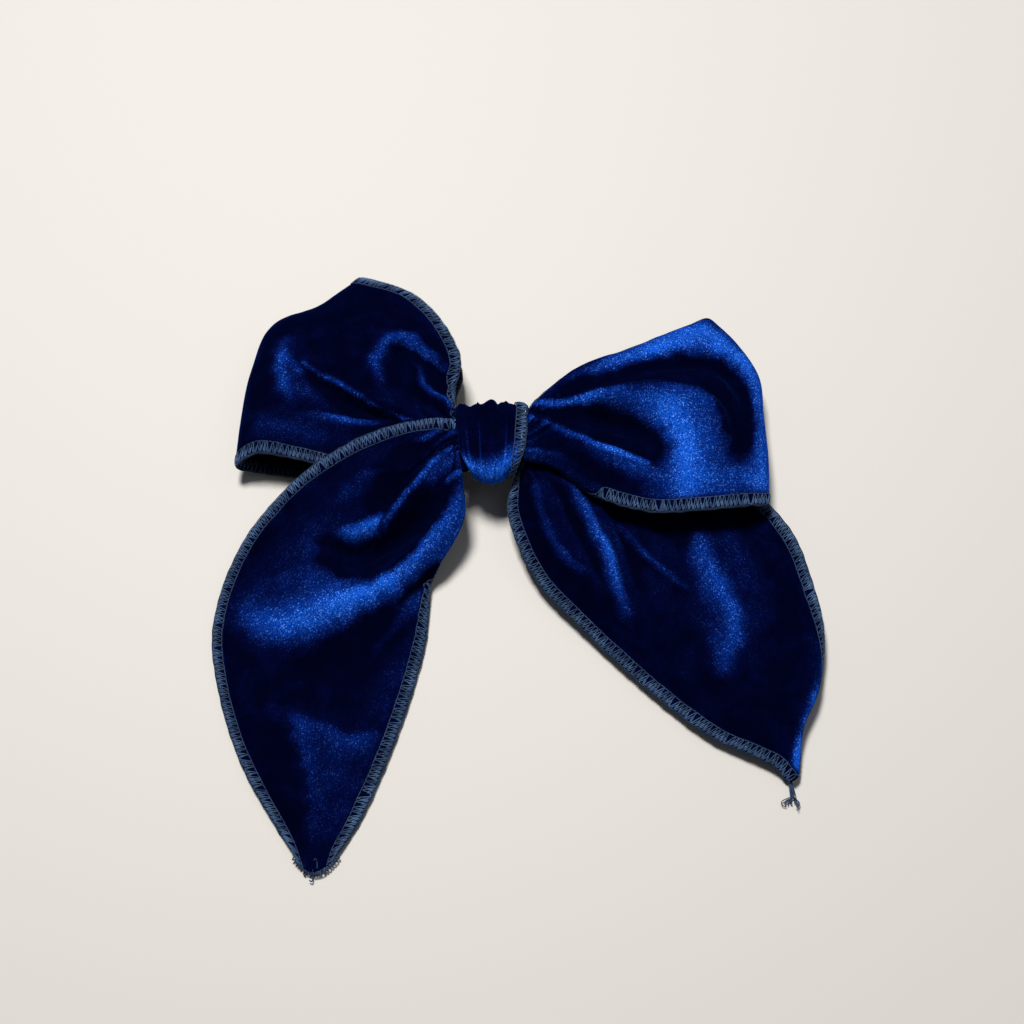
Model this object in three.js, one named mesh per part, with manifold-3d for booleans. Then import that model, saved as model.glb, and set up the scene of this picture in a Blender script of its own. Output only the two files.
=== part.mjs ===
// A pointed velvet hair bow on a sprung hair clip, lying face up.
//
// One long strip of doubled velvet runs to and fro through the knot, three layers deep:
// the left tail and the front of the right loop on top, the back of the right loop and the
// front of the left loop in the middle, the back of the left loop and the right tail below.
// A narrower velvet band wraps the gathered waist. Every raw edge is overlocked.
// Millimetres, +X to the right lobes, +Y to the tops of the loops, +Z up off the surface.

import * as THREE from 'three';
import { mergeVertices } from 'three/addons/utils/BufferGeometryUtils.js';
import Module from 'manifold-3d';

const wasm = await Module();
wasm.setup();

// ---------- driving dimensions ----------

const KNOT_AT = [-5, 27];        // where the knot stands, so that the footprint is centred
const CLOTH = 1.6;               // two layers of velvet, back to back
const BEAD = 0.8;                // radius of the overlock bead
const BEAD_GAP = 0.8;            // between the bead and the cloth

const WRAP = { y: 2.2, z: 15.4, halfY: 11.4, halfZ: 5.5, halfX: 9.2, pinch: 4, pinchAt: -2.4, power: 3 };
const WAIST = { halfX: 7.9, halfY: 8.2, halfZ: 3.2, pinch: 0.72 };
const THREAD = { radius: 0.35, turns: 3, pitch: 1.0 };

const CLIP_Y = 2.2;
const PLATE = { from: -24, to: 24, width: 9, bottom: 7.2, thick: 0.7 };
const EAR = { thick: 0.7, radius: 2.1 };
const LINING = { thick: 0.4, gap: 0.3, end: 20, underEnd: 3 };
const GLUE = { halfX: 7, halfY: 3.8, bottom: 8.9, thick: 0.7 };
const PIN = { x: 9, z: 5, radius: 0.7, length: 9.6, hole: 0.85 };
const JAW = { width: 7, prong: 4, thick: 0.7, nose: -23, tail: 24, foot: 0 };
const SPRING = { coil: 1.75, wire: 0.3, turns: 4, pitch: 0.8, leg: 8 };

// ---------- materials ----------

const finish = (color, roughness, metalness = 0) =>
  new THREE.MeshStandardMaterial({ color, roughness, metalness });
const VELVET = () => finish(0x10246e, 0.85);
const SERGING = () => finish(0x2a4058, 0.8);
const STEEL = () => finish(0xc4c6c8, 0.3, 1);
const RIBBON = () => finish(0x14182c, 0.75);
const GLUE_STICK = () => finish(0xd9d4c4, 0.4);

// ---------- control nets of the four lobes ----------
// Each row crosses the strip from edge to edge; rows follow one another along the strip,
// outwards from the knot. Points are x, y from the knot's foot and z off the surface.

const LEFT_TAIL = [
  [[-9, 7.5, 17.8], [-9, 4.5, 18], [-9, 1, 18], [-9, -2.5, 17.6], [-9, -5.5, 15.6]],
  [[-15, 8.3, 18], [-15, 4, 18.2], [-13, -3, 17.2], [-8.2, -10, 15], [-11.5, -11.5, 9.5]],
  [[-26, 7.2, 17], [-24, 0, 16], [-19, -8, 15.5], [-8.3, -17.6, 12], [-13.5, -18.5, 5.5]],
  [[-39, 2.8, 15.3], [-35, -8, 13], [-28, -17, 10], [-13.8, -26.3, 9], [-17.8, -28.5, 3]],
  [[-53.9, -5.2, 9.3], [-47, -17, 9], [-38, -25, 6.5], [-23, -34.5, 6.5], [-18.4, -37.5, 2]],
  [[-68.1, -20.2, 3], [-57, -29, 6], [-45, -36, 8], [-28, -43, 5], [-19.6, -48, 1.2]],
  [[-75.2, -42, 1.2], [-63, -46, 5], [-50, -50, 5], [-34, -55, 4], [-22.2, -58, 1.2]],
  [[-73.3, -60.2, 1.2], [-63, -63, 3.5], [-52, -66, 4], [-38, -69, 3.5], [-26.3, -70.2, 1.2]],
  [[-67.2, -79.4, 1.2], [-60, -80, 2.5], [-52, -82, 3.5], [-41, -83, 3], [-32, -84.4, 1.2]],
  [[-59.1, -94.6, 1.2], [-54.5, -95.5, 1.8], [-50.5, -96.5, 2.2], [-44.5, -96, 2], [-37.6, -96, 1.2]],
  [[-52.9, -104.8, 1.2], [-51, -107.5, 1.3], [-48.6, -108.4, 1.3], [-46, -107.3, 1.3], [-43.4, -104.8, 1.2]],
];

const RIGHT_TAIL = [
  [[7.6, -4.5, 12.8], [8.6, -1.5, 13], [9, 1.5, 12.8], [9, 4.5, 12.8], [9, 7, 12.6]],
  [[4.4, -13.2, 8.6], [12, -11, 11.5], [17, -6, 12], [20, -1, 11.6], [22, 3, 11]],
  [[6.9, -24.2, 6.6], [15.5, -20, 10.5], [25, -14, 10], [35, -6, 9], [38, -2, 8.3]],
  [[12, -34.8, 5], [23, -30, 9], [35, -22, 8], [50, -12, 6], [55, -6, 5]],
  [[21.6, -46, 4], [32, -40, 8], [46, -30, 6], [61.5, -19, 5.2], [70, -11, 4.5]],
  [[32.4, -57.7, 3], [43, -51, 6], [56, -41, 6], [70.5, -30, 5], [79.4, -22.8, 4.5]],
  [[43.8, -69, 3], [53, -63, 5], [64, -54, 6], [75.5, -44, 6], [83.6, -38, 5]],
  [[54.6, -78, 3.2], [61, -73.5, 5], [69, -66, 6.5], [80.6, -57.2, 8], [85.2, -52.4, 5]],
  [[63, -82.4, 3.5], [67, -79, 5.5], [72.5, -74, 7], [81.8, -66.8, 7], [81.4, -62.3, 2.4]],
  [[70, -86.3, 3], [71.8, -84, 4.6], [74, -80.5, 5.6], [77.2, -77, 5.4], [76.6, -73.7, 1.6]],
  [[73.2, -90, 1.4], [73.9, -90, 2], [74.2, -90.2, 2.6], [75, -89, 2.6], [74.8, -86.4, 1.2]],
];

const LEFT_LOOP_FRONT = [
  [[-9, -2.5, 15.2], [-9, 0, 15.4], [-9, 2.5, 15.4], [-9, 5, 15.4], [-9, 7.5, 15.4], [-9, 10, 15.2]],
  [[-17, -4, 13], [-17, 0, 14.6], [-17, 5, 15], [-16, 10, 16], [-13.5, 14, 16.4], [-9.4, 17.5, 15.5]],
  [[-29, -4, 11], [-29, 3, 13.4], [-27, 11, 15.5], [-24, 19, 17], [-17, 25, 17.4], [-7.6, 27, 16]],
  [[-41, -1, 10.3], [-41, 7, 13.4], [-38, 17, 15.6], [-33, 28, 17], [-25, 36, 17.3], [-12, 38.5, 16]],
  [[-53, 2.3, 11.5], [-52.5, 11, 14.4], [-50, 23, 16], [-45, 35, 16], [-36, 42.5, 15.5], [-19.7, 48.3, 14.5]],
  [[-63.5, 4, 11.5], [-62, 14, 12.6], [-59.5, 27, 13], [-54.5, 39.5, 13],
    [-43, 45.5, 12.8], [-28.3, 53.6, 12.5]],
  [[-69, 2.3, 6.8], [-67.8, 14.5, 6.8], [-65.2, 29.8, 6.8], [-59.3, 44.2, 7],
    [-46.6, 49.2, 7.5], [-34.8, 57.4, 8.5]],
];
const LEFT_LOOP_BACK = [
  [2, 1.8, 1.8, 1.8, 2.4, 4.5],
  [1.5, 1.3, 1.3, 1.3, 2, 4],
  [2.5, 4, 3, 2.5, 3, 5],
  [8, 9.6, 7.5, 6, 6, 7.5],
  [11.3, 11.7, 11.5, 10.5, 10.5, 11],
  [12.6, 12.8, 12.8, 12.8, 12.8, 12.6],
];

const RIGHT_LOOP_FRONT = [
  [[9, -4, 17.2], [9, -2, 17.8], [9, 0.5, 18], [9, 3, 18], [9, 6, 17.8], [9, 9, 16.6]],
  [[17, -6, 16], [18, -2, 18], [19, 3, 18.5], [19, 9, 18.5], [17.5, 14.2, 18], [15, 16.6, 15.8]],
  [[29.5, -14.8, 15.2], [31, -5, 17.5], [32, 4, 18], [32, 13, 18.5], [29, 21.5, 17], [26, 25, 14]],
  [[42, -18.5, 14.7], [43.5, -8, 17], [44.5, 4, 18.5], [44, 15, 19], [41, 26, 16.5], [38, 29.3, 13.3]],
  [[55, -18, 15], [56, -7, 17], [57, 6, 18], [56, 18, 18], [53, 30, 15.5], [50, 34.5, 12.3]],
  [[67, -16.2, 13.8], [68.2, -5, 14.8], [68.6, 8, 15], [66.6, 20, 14.5],
    [61.8, 31, 13.5], [57.6, 37.9, 11.5]],
  [[73, -14.6, 10.5], [74, -3, 10], [74, 10, 9.2], [73.8, 21.2, 9], [68.4, 32, 9], [61.4, 40.2, 9.5]],
];
const RIGHT_LOOP_BACK = [
  [8, 7, 5, 4, 4, 5.5],
  [8.6, 7.8, 5, 3, 3, 4.5],
  [9.8, 9.5, 8, 5, 5, 6.5],
  [11.6, 12, 11.8, 9.5, 9, 10],
  [14, 14.2, 14.2, 13.8, 13.4, 13.4],
  [15.2, 15.4, 15.4, 15.4, 15.4, 15.2],
];

const LEFT_LOOP_SHIFT = [-1.6, 0, 0, 0, 0, 0];
const RIGHT_LOOP_SHIFT = [3, 1, 0, 0, 0, 0];

// A loop's back follows its front inwards at its own heights, a little narrower, and shifted
// by so much towards the top of the bow.
const loopNet = (front, backHeights, shift) => {
  const back = front.slice(0, -1).reverse();
  return front.concat(back.map((row, i) =>
    row.map(([x, y], j) => [x * 0.985, y + shift[j], backHeights[i][j]])));
};

// ---------- cloth ----------

const vec = ([x, y, z]) => new THREE.Vector3(x, y, z);

// One curve per column of the net, then one curve across them at each step along the strip.
const crossSections = (net, steps) => {
  const columns = net[0].map((_, j) => new THREE.CatmullRomCurve3(net.map((row) => vec(row[j]))));
  return Array.from({ length: steps + 1 }, (_, i) =>
    new THREE.CatmullRomCurve3(columns.map((column) => column.getPoint(i / steps))));
};

// How far in from its edge the cloth starts, measured along a row that meets the edge at a slant.
const insetAt = (sections, i, end) => {
  const last = Math.max(i, 1);
  const edge = sections[last].getPointAt(end).sub(sections[last - 1].getPointAt(end)).normalize();
  const slant = edge.cross(sections[i].getTangentAt(end)).length();
  return (2 * BEAD + BEAD_GAP) / Math.max(slant, 0.6);
};

const clothRows = (sections, across) => sections.map((section, i) => {
  const length = section.getLength();
  const from = insetAt(sections, i, 0);
  const span = length - from - insetAt(sections, i, 1);
  return Array.from({ length: across + 1 }, (_, j) =>
    section.getPointAt((from + span * j / across) / length));
});

const edgeLine = (sections, farSide) => sections.map((section) => {
  const fraction = BEAD / section.getLength();
  return section.getPointAt(farSide ? 1 - fraction : fraction);
}).slice(1);

// A closed solid of even thickness about a grid of points; ring joins the last row to the first.
const thicken = (rows, thickness, ring = false) => {
  const nu = rows.length;
  const nv = rows[0].length;
  const at = (i, j) => rows[ring ? (i + nu) % nu : Math.min(Math.max(i, 0), nu - 1)][
    Math.min(Math.max(j, 0), nv - 1)];
  const points = [];
  for (const side of [1, -1]) {
    for (let i = 0; i < nu; i += 1) {
      for (let j = 0; j < nv; j += 1) {
        const along = at(i + 1, j).clone().sub(at(i - 1, j));
        const over = at(i, j + 1).clone().sub(at(i, j - 1));
        const normal = along.cross(over).normalize();
        points.push(...rows[i][j].clone().addScaledVector(normal, side * thickness / 2).toArray());
      }
    }
  }
  const index = [];
  const id = (side, i, j) => side * nu * nv + (i % nu) * nv + j;
  const quad = (a, b, c, d) => index.push(a, b, c, a, c, d);
  const spans = ring ? nu : nu - 1;
  for (let i = 0; i < spans; i += 1) {
    for (let j = 0; j < nv - 1; j += 1) {
      quad(id(0, i, j), id(0, i + 1, j), id(0, i + 1, j + 1), id(0, i, j + 1));
      quad(id(1, i, j), id(1, i, j + 1), id(1, i + 1, j + 1), id(1, i + 1, j));
    }
    quad(id(0, i, 0), id(1, i, 0), id(1, i + 1, 0), id(0, i + 1, 0));
    quad(id(0, i, nv - 1), id(0, i + 1, nv - 1), id(1, i + 1, nv - 1), id(1, i, nv - 1));
  }
  if (!ring) {
    for (let j = 0; j < nv - 1; j += 1) {
      quad(id(0, 0, j), id(0, 0, j + 1), id(1, 0, j + 1), id(1, 0, j));
      quad(id(0, nu - 1, j), id(1, nu - 1, j), id(1, nu - 1, j + 1), id(0, nu - 1, j + 1));
    }
  }
  return geometryOf(points, index);
};

const geometryOf = (points, index) => {
  const geometry = new THREE.BufferGeometry();
  geometry.setAttribute('position', new THREE.Float32BufferAttribute(points, 3));
  geometry.setIndex(index);
  return geometry;
};

// Mirroring a row order turns a grid inside out, so the solid's signed volume decides.
const facingOut = (geometry) => {
  const p = geometry.attributes.position;
  const index = geometry.index.array;
  const corner = (k) => new THREE.Vector3().fromBufferAttribute(p, index[k]);
  let volume = 0;
  for (let k = 0; k < index.length; k += 3) {
    volume += corner(k).dot(corner(k + 1).cross(corner(k + 2)));
  }
  if (volume < 0) {
    for (let k = 0; k < index.length; k += 3) {
      [index[k + 1], index[k + 2]] = [index[k + 2], index[k + 1]];
    }
  }
  return geometry;
};

const tube = (points, radius, sides, steps) => {
  const ring = new THREE.Shape(Array.from({ length: sides }, (_, k) => new THREE.Vector2(
    radius * Math.cos(2 * Math.PI * k / sides), radius * Math.sin(2 * Math.PI * k / sides))));
  const path = new THREE.CatmullRomCurve3(points);
  return new THREE.ExtrudeGeometry(ring, { steps, extrudePath: path, bevelEnabled: false });
};

// ---------- solids that are cut or joined ----------

const solid = (geometry) => {
  const plain = geometry.clone();
  plain.deleteAttribute('normal');
  plain.deleteAttribute('uv');
  const merged = mergeVertices(plain, 1e-5);
  return new wasm.Manifold(new wasm.Mesh({
    numProp: 3,
    vertProperties: new Float32Array(merged.attributes.position.array),
    triVerts: new Uint32Array(merged.index.array),
  }));
};

const geometryFrom = (manifold) => {
  const mesh = manifold.getMesh();
  return geometryOf(mesh.vertProperties, Array.from(mesh.triVerts));
};

const box = (x0, x1, y0, y1, z0, z1) => {
  const geometry = new THREE.BoxGeometry(x1 - x0, y1 - y0, z1 - z0);
  return geometry.translate((x0 + x1) / 2, (y0 + y1) / 2, (z0 + z1) / 2);
};

const rodAlongY = (x, z, radius, length, segments = 20) =>
  new THREE.CylinderGeometry(radius, radius, length, segments).translate(x, CLIP_Y, z);

// An outline drawn in x and z, given a width along Y about the clip's middle.
const sideways = (outline, width) => {
  const shape = new THREE.Shape(outline.map(([x, z]) => new THREE.Vector2(x, z)));
  const geometry = new THREE.ExtrudeGeometry(shape, { depth: width, bevelEnabled: false });
  return geometry.rotateX(Math.PI / 2).translate(0, CLIP_Y + width / 2, 0);
};

// ---------- assembly ----------

const bow = new THREE.Group();
const knot = new THREE.Group();
knot.position.set(KNOT_AT[0], KNOT_AT[1], 0);
bow.add(knot);

const add = (name, geometry, material) => {
  const mesh = new THREE.Mesh(geometry, material);
  mesh.name = name;
  knot.add(mesh);
};

const LEFT_LOOP = loopNet(LEFT_LOOP_FRONT, LEFT_LOOP_BACK, LEFT_LOOP_SHIFT);
const RIGHT_LOOP = loopNet(RIGHT_LOOP_FRONT, RIGHT_LOOP_BACK, RIGHT_LOOP_SHIFT);
const LOBES = {
  left_tail: { net: LEFT_TAIL, steps: 22, across: 9, edges: ['outer', 'inner'] },
  right_tail: { net: RIGHT_TAIL, steps: 22, across: 11, edges: ['inner', 'outer'] },
  left_loop: { net: LEFT_LOOP, steps: 34, across: 7, edges: ['hem', 'top'] },
  right_loop: { net: RIGHT_LOOP, steps: 34, across: 7, edges: ['hem', 'top'] },
};

for (const [name, lobe] of Object.entries(LOBES)) {
  const sections = crossSections(lobe.net, lobe.steps);
  add(name, facingOut(thicken(clothRows(sections, lobe.across), CLOTH)), VELVET());
  lobe.edges.forEach((edge, side) => {
    const line = edgeLine(sections, side === 1);
    add(`${name}_${edge}_edging`, tube(line, BEAD, 5, lobe.steps - 1), SERGING());
  });
}

// The frayed ends: a few short thread ends beyond each tip, drawn as a toothed scrap.
const fray = (name, [x, y], heading, length, width, lift) => {
  const half = width / 2;
  const teeth = [[-half, 0], [half, 0], [half, length * 0.6], [half * 0.5, length * 0.45],
    [half * 0.2, length], [-half * 0.3, length * 0.5], [-half * 0.7, length * 0.8]];
  const shape = new THREE.Shape(teeth.map(([a, b]) => new THREE.Vector2(a, b)));
  const geometry = new THREE.ExtrudeGeometry(shape, { depth: CLOTH / 2, bevelEnabled: false });
  add(name, geometry.rotateZ(heading).translate(x, y, lift), SERGING());
};
fray('left_tip_fray', [-48.6, -109.2], Math.PI, 1.8, 6, 0.5);
fray('right_tip_fray', [74, -90.9], -Math.PI * 0.97, 6, 3, 0.4);

// ---------- knot ----------

// The section of the wrap, across Y and Z: a squarish oval.
const wrapPoint = (angle, x, inset = 0) => {
  const oval = (value, half) => Math.sign(value) * (half - inset) * Math.abs(value) ** (2 / WRAP.power);
  return new THREE.Vector3(x, WRAP.y + oval(Math.cos(angle), WRAP.halfY),
    WRAP.z + oval(Math.sin(angle), WRAP.halfZ));
};
// The band is pulled narrower low down at the front.
const wrapHalfWidth = (angle) => WRAP.halfX - WRAP.pinch * (1 + Math.cos(angle - WRAP.pinchAt)) / 2;
const WRAP_SEGMENTS = 36;
const WRAP_ACROSS = 4;

const wrapRows = Array.from({ length: WRAP_SEGMENTS }, (_, i) => {
  const angle = 2 * Math.PI * i / WRAP_SEGMENTS;
  const half = wrapHalfWidth(angle);
  return Array.from({ length: WRAP_ACROSS + 1 }, (_unused, j) =>
    wrapPoint(angle, -half + 2 * half * j / WRAP_ACROSS, CLOTH / 2));
});
add('centre_wrap', facingOut(thicken(wrapRows, CLOTH, true)), VELVET());

const EDGING_STEPS = 34;
const wrapEdge = Array.from({ length: EDGING_STEPS + 1 }, (_, i) => {
  const angle = -Math.PI / 2 + 0.08 + (2 * Math.PI - 0.16) * i / EDGING_STEPS;
  return wrapPoint(angle, wrapHalfWidth(angle) + BEAD_GAP + BEAD, CLOTH / 2 + 0.2);
});
add('centre_wrap_edging', tube(wrapEdge, BEAD, 5, 46), SERGING());

// The gathered middle of the strip, pinched where the thread binds it.
const waistRows = [];
const WAIST_RINGS = 8;
const WAIST_SIDES = 20;
for (let i = 0; i <= WAIST_RINGS; i += 1) {
  const x = -WAIST.halfX + 2 * WAIST.halfX * i / WAIST_RINGS;
  const squeeze = 1 - (1 - WAIST.pinch) * Math.cos(Math.PI * x / (2 * WAIST.halfX)) ** 2;
  waistRows.push(Array.from({ length: WAIST_SIDES }, (_, k) => {
    const angle = 2 * Math.PI * k / WAIST_SIDES;
    const pleat = 1 - 0.06 * (k % 2);
    return [x, WRAP.y + WAIST.halfY * squeeze * pleat * Math.cos(angle),
      WRAP.z + WAIST.halfZ * squeeze * pleat * Math.sin(angle)];
  }));
}
const waistGeometry = () => {
  const points = waistRows.flat(2);
  const index = [];
  const id = (i, k) => i * WAIST_SIDES + (k % WAIST_SIDES);
  for (let i = 0; i < WAIST_RINGS; i += 1) {
    for (let k = 0; k < WAIST_SIDES; k += 1) {
      index.push(id(i, k), id(i, k + 1), id(i + 1, k + 1), id(i, k), id(i + 1, k + 1), id(i + 1, k));
    }
  }
  for (let k = 1; k < WAIST_SIDES - 1; k += 1) {
    index.push(id(0, 0), id(0, k + 1), id(0, k));
    index.push(id(WAIST_RINGS, 0), id(WAIST_RINGS, k), id(WAIST_RINGS, k + 1));
  }
  return facingOut(geometryOf(points, index));
};
add('gathered_waist', waistGeometry(), VELVET());

const windings = Array.from({ length: THREAD.turns * 18 + 1 }, (_, i) => {
  const angle = 2 * Math.PI * i / 18;
  const clear = 0.4 + THREAD.radius;
  return new THREE.Vector3(THREAD.pitch * (i / 18 - THREAD.turns / 2),
    WRAP.y + (WAIST.halfY * 0.76 + clear) * Math.cos(angle),
    WRAP.z + (WAIST.halfZ * 0.76 + clear) * Math.sin(angle));
});
add('gathering_thread', tube(windings, THREAD.radius, 5, THREAD.turns * 18), SERGING());

// ---------- clip ----------

const glueOutline = new THREE.Shape();
glueOutline.absellipse(0, 0, GLUE.halfX, GLUE.halfY, 0, 2 * Math.PI);
const glue = new THREE.ExtrudeGeometry(glueOutline, {
  depth: GLUE.thick, bevelEnabled: false, curveSegments: 10,
});
add('glue_pad', glue.translate(0, CLIP_Y, GLUE.bottom), GLUE_STICK());

// Plate with an ear down each side; the pin's holes go through both ears.
const half = PLATE.width / 2;
const plateTop = PLATE.bottom + PLATE.thick;
const plateBar = solid(box(PLATE.from, PLATE.to, CLIP_Y - half, CLIP_Y + half, PLATE.bottom, plateTop));
const ears = [-1, 1].map((side) => {
  const outer = CLIP_Y + side * half;
  const inner = outer - side * EAR.thick;
  const y = [Math.min(outer, inner), Math.max(outer, inner)];
  const disc = new THREE.CylinderGeometry(EAR.radius, EAR.radius, EAR.thick, 20)
    .translate(PIN.x, (y[0] + y[1]) / 2, PIN.z);
  const web = box(PIN.x - EAR.radius, PIN.x + EAR.radius, y[0], y[1], PIN.z, PLATE.bottom + 0.1);
  return solid(disc).add(solid(web));
});
const pinHole = () => solid(rodAlongY(PIN.x, PIN.z, PIN.hole, 2 * PLATE.width));
add('clip_plate', geometryFrom(plateBar.add(ears[0]).add(ears[1]).subtract(pinHole())), STEEL());

// Ribbon along the plate's top, round its nose and back underneath as far as the jaw's root.
const { thick, gap } = LINING;
const nose = PLATE.from - gap;
add('clip_lining', sideways([
  [LINING.end, plateTop + gap], [nose, plateTop + gap], [nose, PLATE.bottom - gap],
  [LINING.underEnd, PLATE.bottom - gap], [LINING.underEnd, PLATE.bottom - gap - thick],
  [nose - thick, PLATE.bottom - gap - thick], [nose - thick, plateTop + gap + thick],
  [LINING.end, plateTop + gap + thick],
], PLATE.width - 0.4), RIBBON());

// Jaw: a prong that closes on the lining, a channel round the pin, and a lever to the finger pad.
const prongTop = PLATE.bottom - gap - thick - 0.3;
const jawRoot = PIN.x - 4.5;
const prong = solid(sideways([
  [JAW.nose, prongTop], [JAW.nose, prongTop - 1.2], [JAW.nose + 2, prongTop - 1.9],
  [jawRoot + 1, PIN.z - 3.1], [jawRoot + 1, PIN.z - 2.4], [JAW.nose + 2.5, prongTop - 1.1],
  [JAW.nose + 1.2, prongTop],
], JAW.prong));
const lever = solid(sideways([
  [jawRoot, PIN.z - 2.4], [jawRoot, PIN.z - 3.1], [PIN.x + 3, PIN.z - 3.1], [JAW.tail - 5, JAW.foot],
  [JAW.tail, JAW.foot], [JAW.tail, JAW.foot + JAW.thick], [JAW.tail - 4.8, JAW.foot + JAW.thick],
  [PIN.x + 3.1, PIN.z - 2.4],
], JAW.width));
const cheeks = [-1, 1].map((side) => {
  const centre = CLIP_Y + side * (JAW.width - JAW.thick) / 2;
  const disc = new THREE.CylinderGeometry(1.6, 1.6, JAW.thick, 20).translate(PIN.x, centre, PIN.z);
  const web = box(PIN.x - 1.6, PIN.x + 1.6, centre - JAW.thick / 2, centre + JAW.thick / 2,
    PIN.z - 2.6, PIN.z);
  return solid(disc).add(solid(web));
});
const jaw = prong.add(lever).add(cheeks[0]).add(cheeks[1]).subtract(pinHole());
add('clip_jaw', geometryFrom(jaw), STEEL());

add('jaw_pin', rodAlongY(PIN.x, PIN.z, PIN.radius, PIN.length), STEEL());

// Torsion spring: coil and upper leg press on the plate, the lower leg presses on the lever.
const coilStart = CLIP_Y - SPRING.turns * SPRING.pitch / 2;
const COIL_STEPS = 12;
const coil = Array.from({ length: SPRING.turns * COIL_STEPS + 1 }, (_, i) => {
  const angle = Math.PI / 2 + 2 * Math.PI * i / COIL_STEPS;
  return new THREE.Vector3(PIN.x + SPRING.coil * Math.cos(angle),
    coilStart + SPRING.pitch * i / COIL_STEPS, PIN.z + SPRING.coil * Math.sin(angle));
});
coil.unshift(new THREE.Vector3(PIN.x + SPRING.leg, coilStart - 0.1, PIN.z + SPRING.coil));
add('clip_spring', tube(coil, SPRING.wire, 5, SPRING.turns * COIL_STEPS + 2), STEEL());

const legAt = coilStart + SPRING.turns * SPRING.pitch + 0.75;
const leverTop = PIN.z - 2.4;
const leg = [[1.2, leverTop + 0.7], [3, leverTop + 0.7], [5, leverTop + 0.2], [SPRING.leg, leverTop - 0.5]]
  .map(([x, z]) => new THREE.Vector3(PIN.x + x, legAt, z));
add('clip_spring_leg', tube(leg, SPRING.wire, 6, 6), STEEL());

export default bow;
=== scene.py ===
import math

import bpy
import numpy as np
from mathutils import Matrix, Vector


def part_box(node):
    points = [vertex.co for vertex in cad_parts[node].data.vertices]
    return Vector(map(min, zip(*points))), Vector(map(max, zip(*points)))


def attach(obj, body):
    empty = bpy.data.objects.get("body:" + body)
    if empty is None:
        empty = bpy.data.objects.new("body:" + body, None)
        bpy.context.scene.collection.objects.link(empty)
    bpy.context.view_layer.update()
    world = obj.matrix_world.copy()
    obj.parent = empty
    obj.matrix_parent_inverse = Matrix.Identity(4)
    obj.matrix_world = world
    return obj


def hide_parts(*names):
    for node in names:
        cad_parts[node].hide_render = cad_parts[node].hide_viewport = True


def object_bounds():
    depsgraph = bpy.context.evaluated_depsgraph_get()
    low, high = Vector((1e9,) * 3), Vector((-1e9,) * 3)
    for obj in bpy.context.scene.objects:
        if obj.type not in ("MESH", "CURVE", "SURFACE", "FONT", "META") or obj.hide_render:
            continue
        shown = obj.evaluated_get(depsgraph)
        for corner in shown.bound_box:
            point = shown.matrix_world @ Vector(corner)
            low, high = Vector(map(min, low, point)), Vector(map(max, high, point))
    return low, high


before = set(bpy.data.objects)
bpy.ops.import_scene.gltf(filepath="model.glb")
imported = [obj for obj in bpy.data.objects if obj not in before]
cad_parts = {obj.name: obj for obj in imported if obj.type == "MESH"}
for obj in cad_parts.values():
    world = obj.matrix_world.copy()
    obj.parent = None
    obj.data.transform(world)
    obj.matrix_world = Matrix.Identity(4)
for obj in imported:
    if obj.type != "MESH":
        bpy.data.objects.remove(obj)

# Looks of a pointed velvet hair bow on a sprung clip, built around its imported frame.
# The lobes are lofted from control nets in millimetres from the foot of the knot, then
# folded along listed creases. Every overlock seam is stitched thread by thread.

CAD_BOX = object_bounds()
MM = 0.001
RNG = np.random.default_rng(11)

# ---------- places taken from the frame ----------

WRAP_LOW, WRAP_HIGH = (np.array(corner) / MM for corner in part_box("centre_wrap"))
WRAP_MIDDLE = (WRAP_LOW + WRAP_HIGH) / 2
WRAP_HALF = (WRAP_HIGH - WRAP_LOW) / 2
WRAP_BEHIND_FOOT = 2.2
FOOT = np.array([WRAP_MIDDLE[0], WRAP_MIDDLE[1] - WRAP_BEHIND_FOOT, 0.0])

# ---------- sizes, in millimetres ----------

CLOTH_HALF = 0.75            # half the doubled velvet's thickness
CLOTH_EDGE_HALF = 0.5        # pressed thinner inside the overlock
SEAM_WIDTH = 3.0             # from the needle line to the bead
STITCH = 1.3                 # one overlock stitch along the edge
YARN = 0.13                  # radius of the overlock thread
GRID = 0.45                  # spacing of the cloth mesh

# ---------- control nets of the lobes ----------
# Rows cross the strip from edge to edge, and follow one another outwards from the knot.

LEFT_TAIL = [
    [(-9, 7.5, 17.8), (-9, 4.5, 18), (-9, 1, 18), (-9, -2.5, 17.6), (-9, -5.5, 15.6)],
    [(-15, 8.3, 18), (-15, 4, 18.2), (-13, -3, 17.2), (-8.2, -10, 15), (-11.5, -11.5, 9.5)],
    [(-26, 7.2, 17), (-24, 0, 16), (-19, -8, 15.5), (-8.3, -17.6, 12), (-13.5, -18.5, 5.5)],
    [(-39, 2.8, 15.3), (-35, -8, 13), (-28, -17, 10), (-13.8, -26.3, 9), (-17.8, -28.5, 3)],
    [(-53.9, -5.2, 9.3), (-47, -17, 9), (-38, -25, 6.5), (-23, -34.5, 6.5), (-18.4, -37.5, 2)],
    [(-68.1, -20.2, 3), (-57, -29, 6), (-45, -36, 8), (-28, -43, 5), (-19.6, -48, 1.2)],
    [(-75.2, -42, 1.2), (-63, -46, 5), (-50, -50, 5), (-34, -55, 4), (-22.2, -58, 1.2)],
    [(-73.3, -60.2, 1.2), (-63, -63, 3.5), (-52, -66, 4), (-38, -69, 3.5), (-26.3, -70.2, 1.2)],
    [(-67.2, -79.4, 1.2), (-60, -80, 2.5), (-52, -82, 3.5), (-41, -83, 3), (-32, -84.4, 1.2)],
    [(-59.1, -94.6, 1.2), (-54.5, -95.5, 1.8), (-50.5, -96.5, 2.2), (-44.5, -96, 2), (-37.6, -96, 1.2)],
    [(-52.9, -104.8, 1.2), (-51, -107.5, 1.3), (-48.6, -108.4, 1.3), (-46, -107.3, 1.3),
     (-43.4, -104.8, 1.2)],
]

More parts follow.
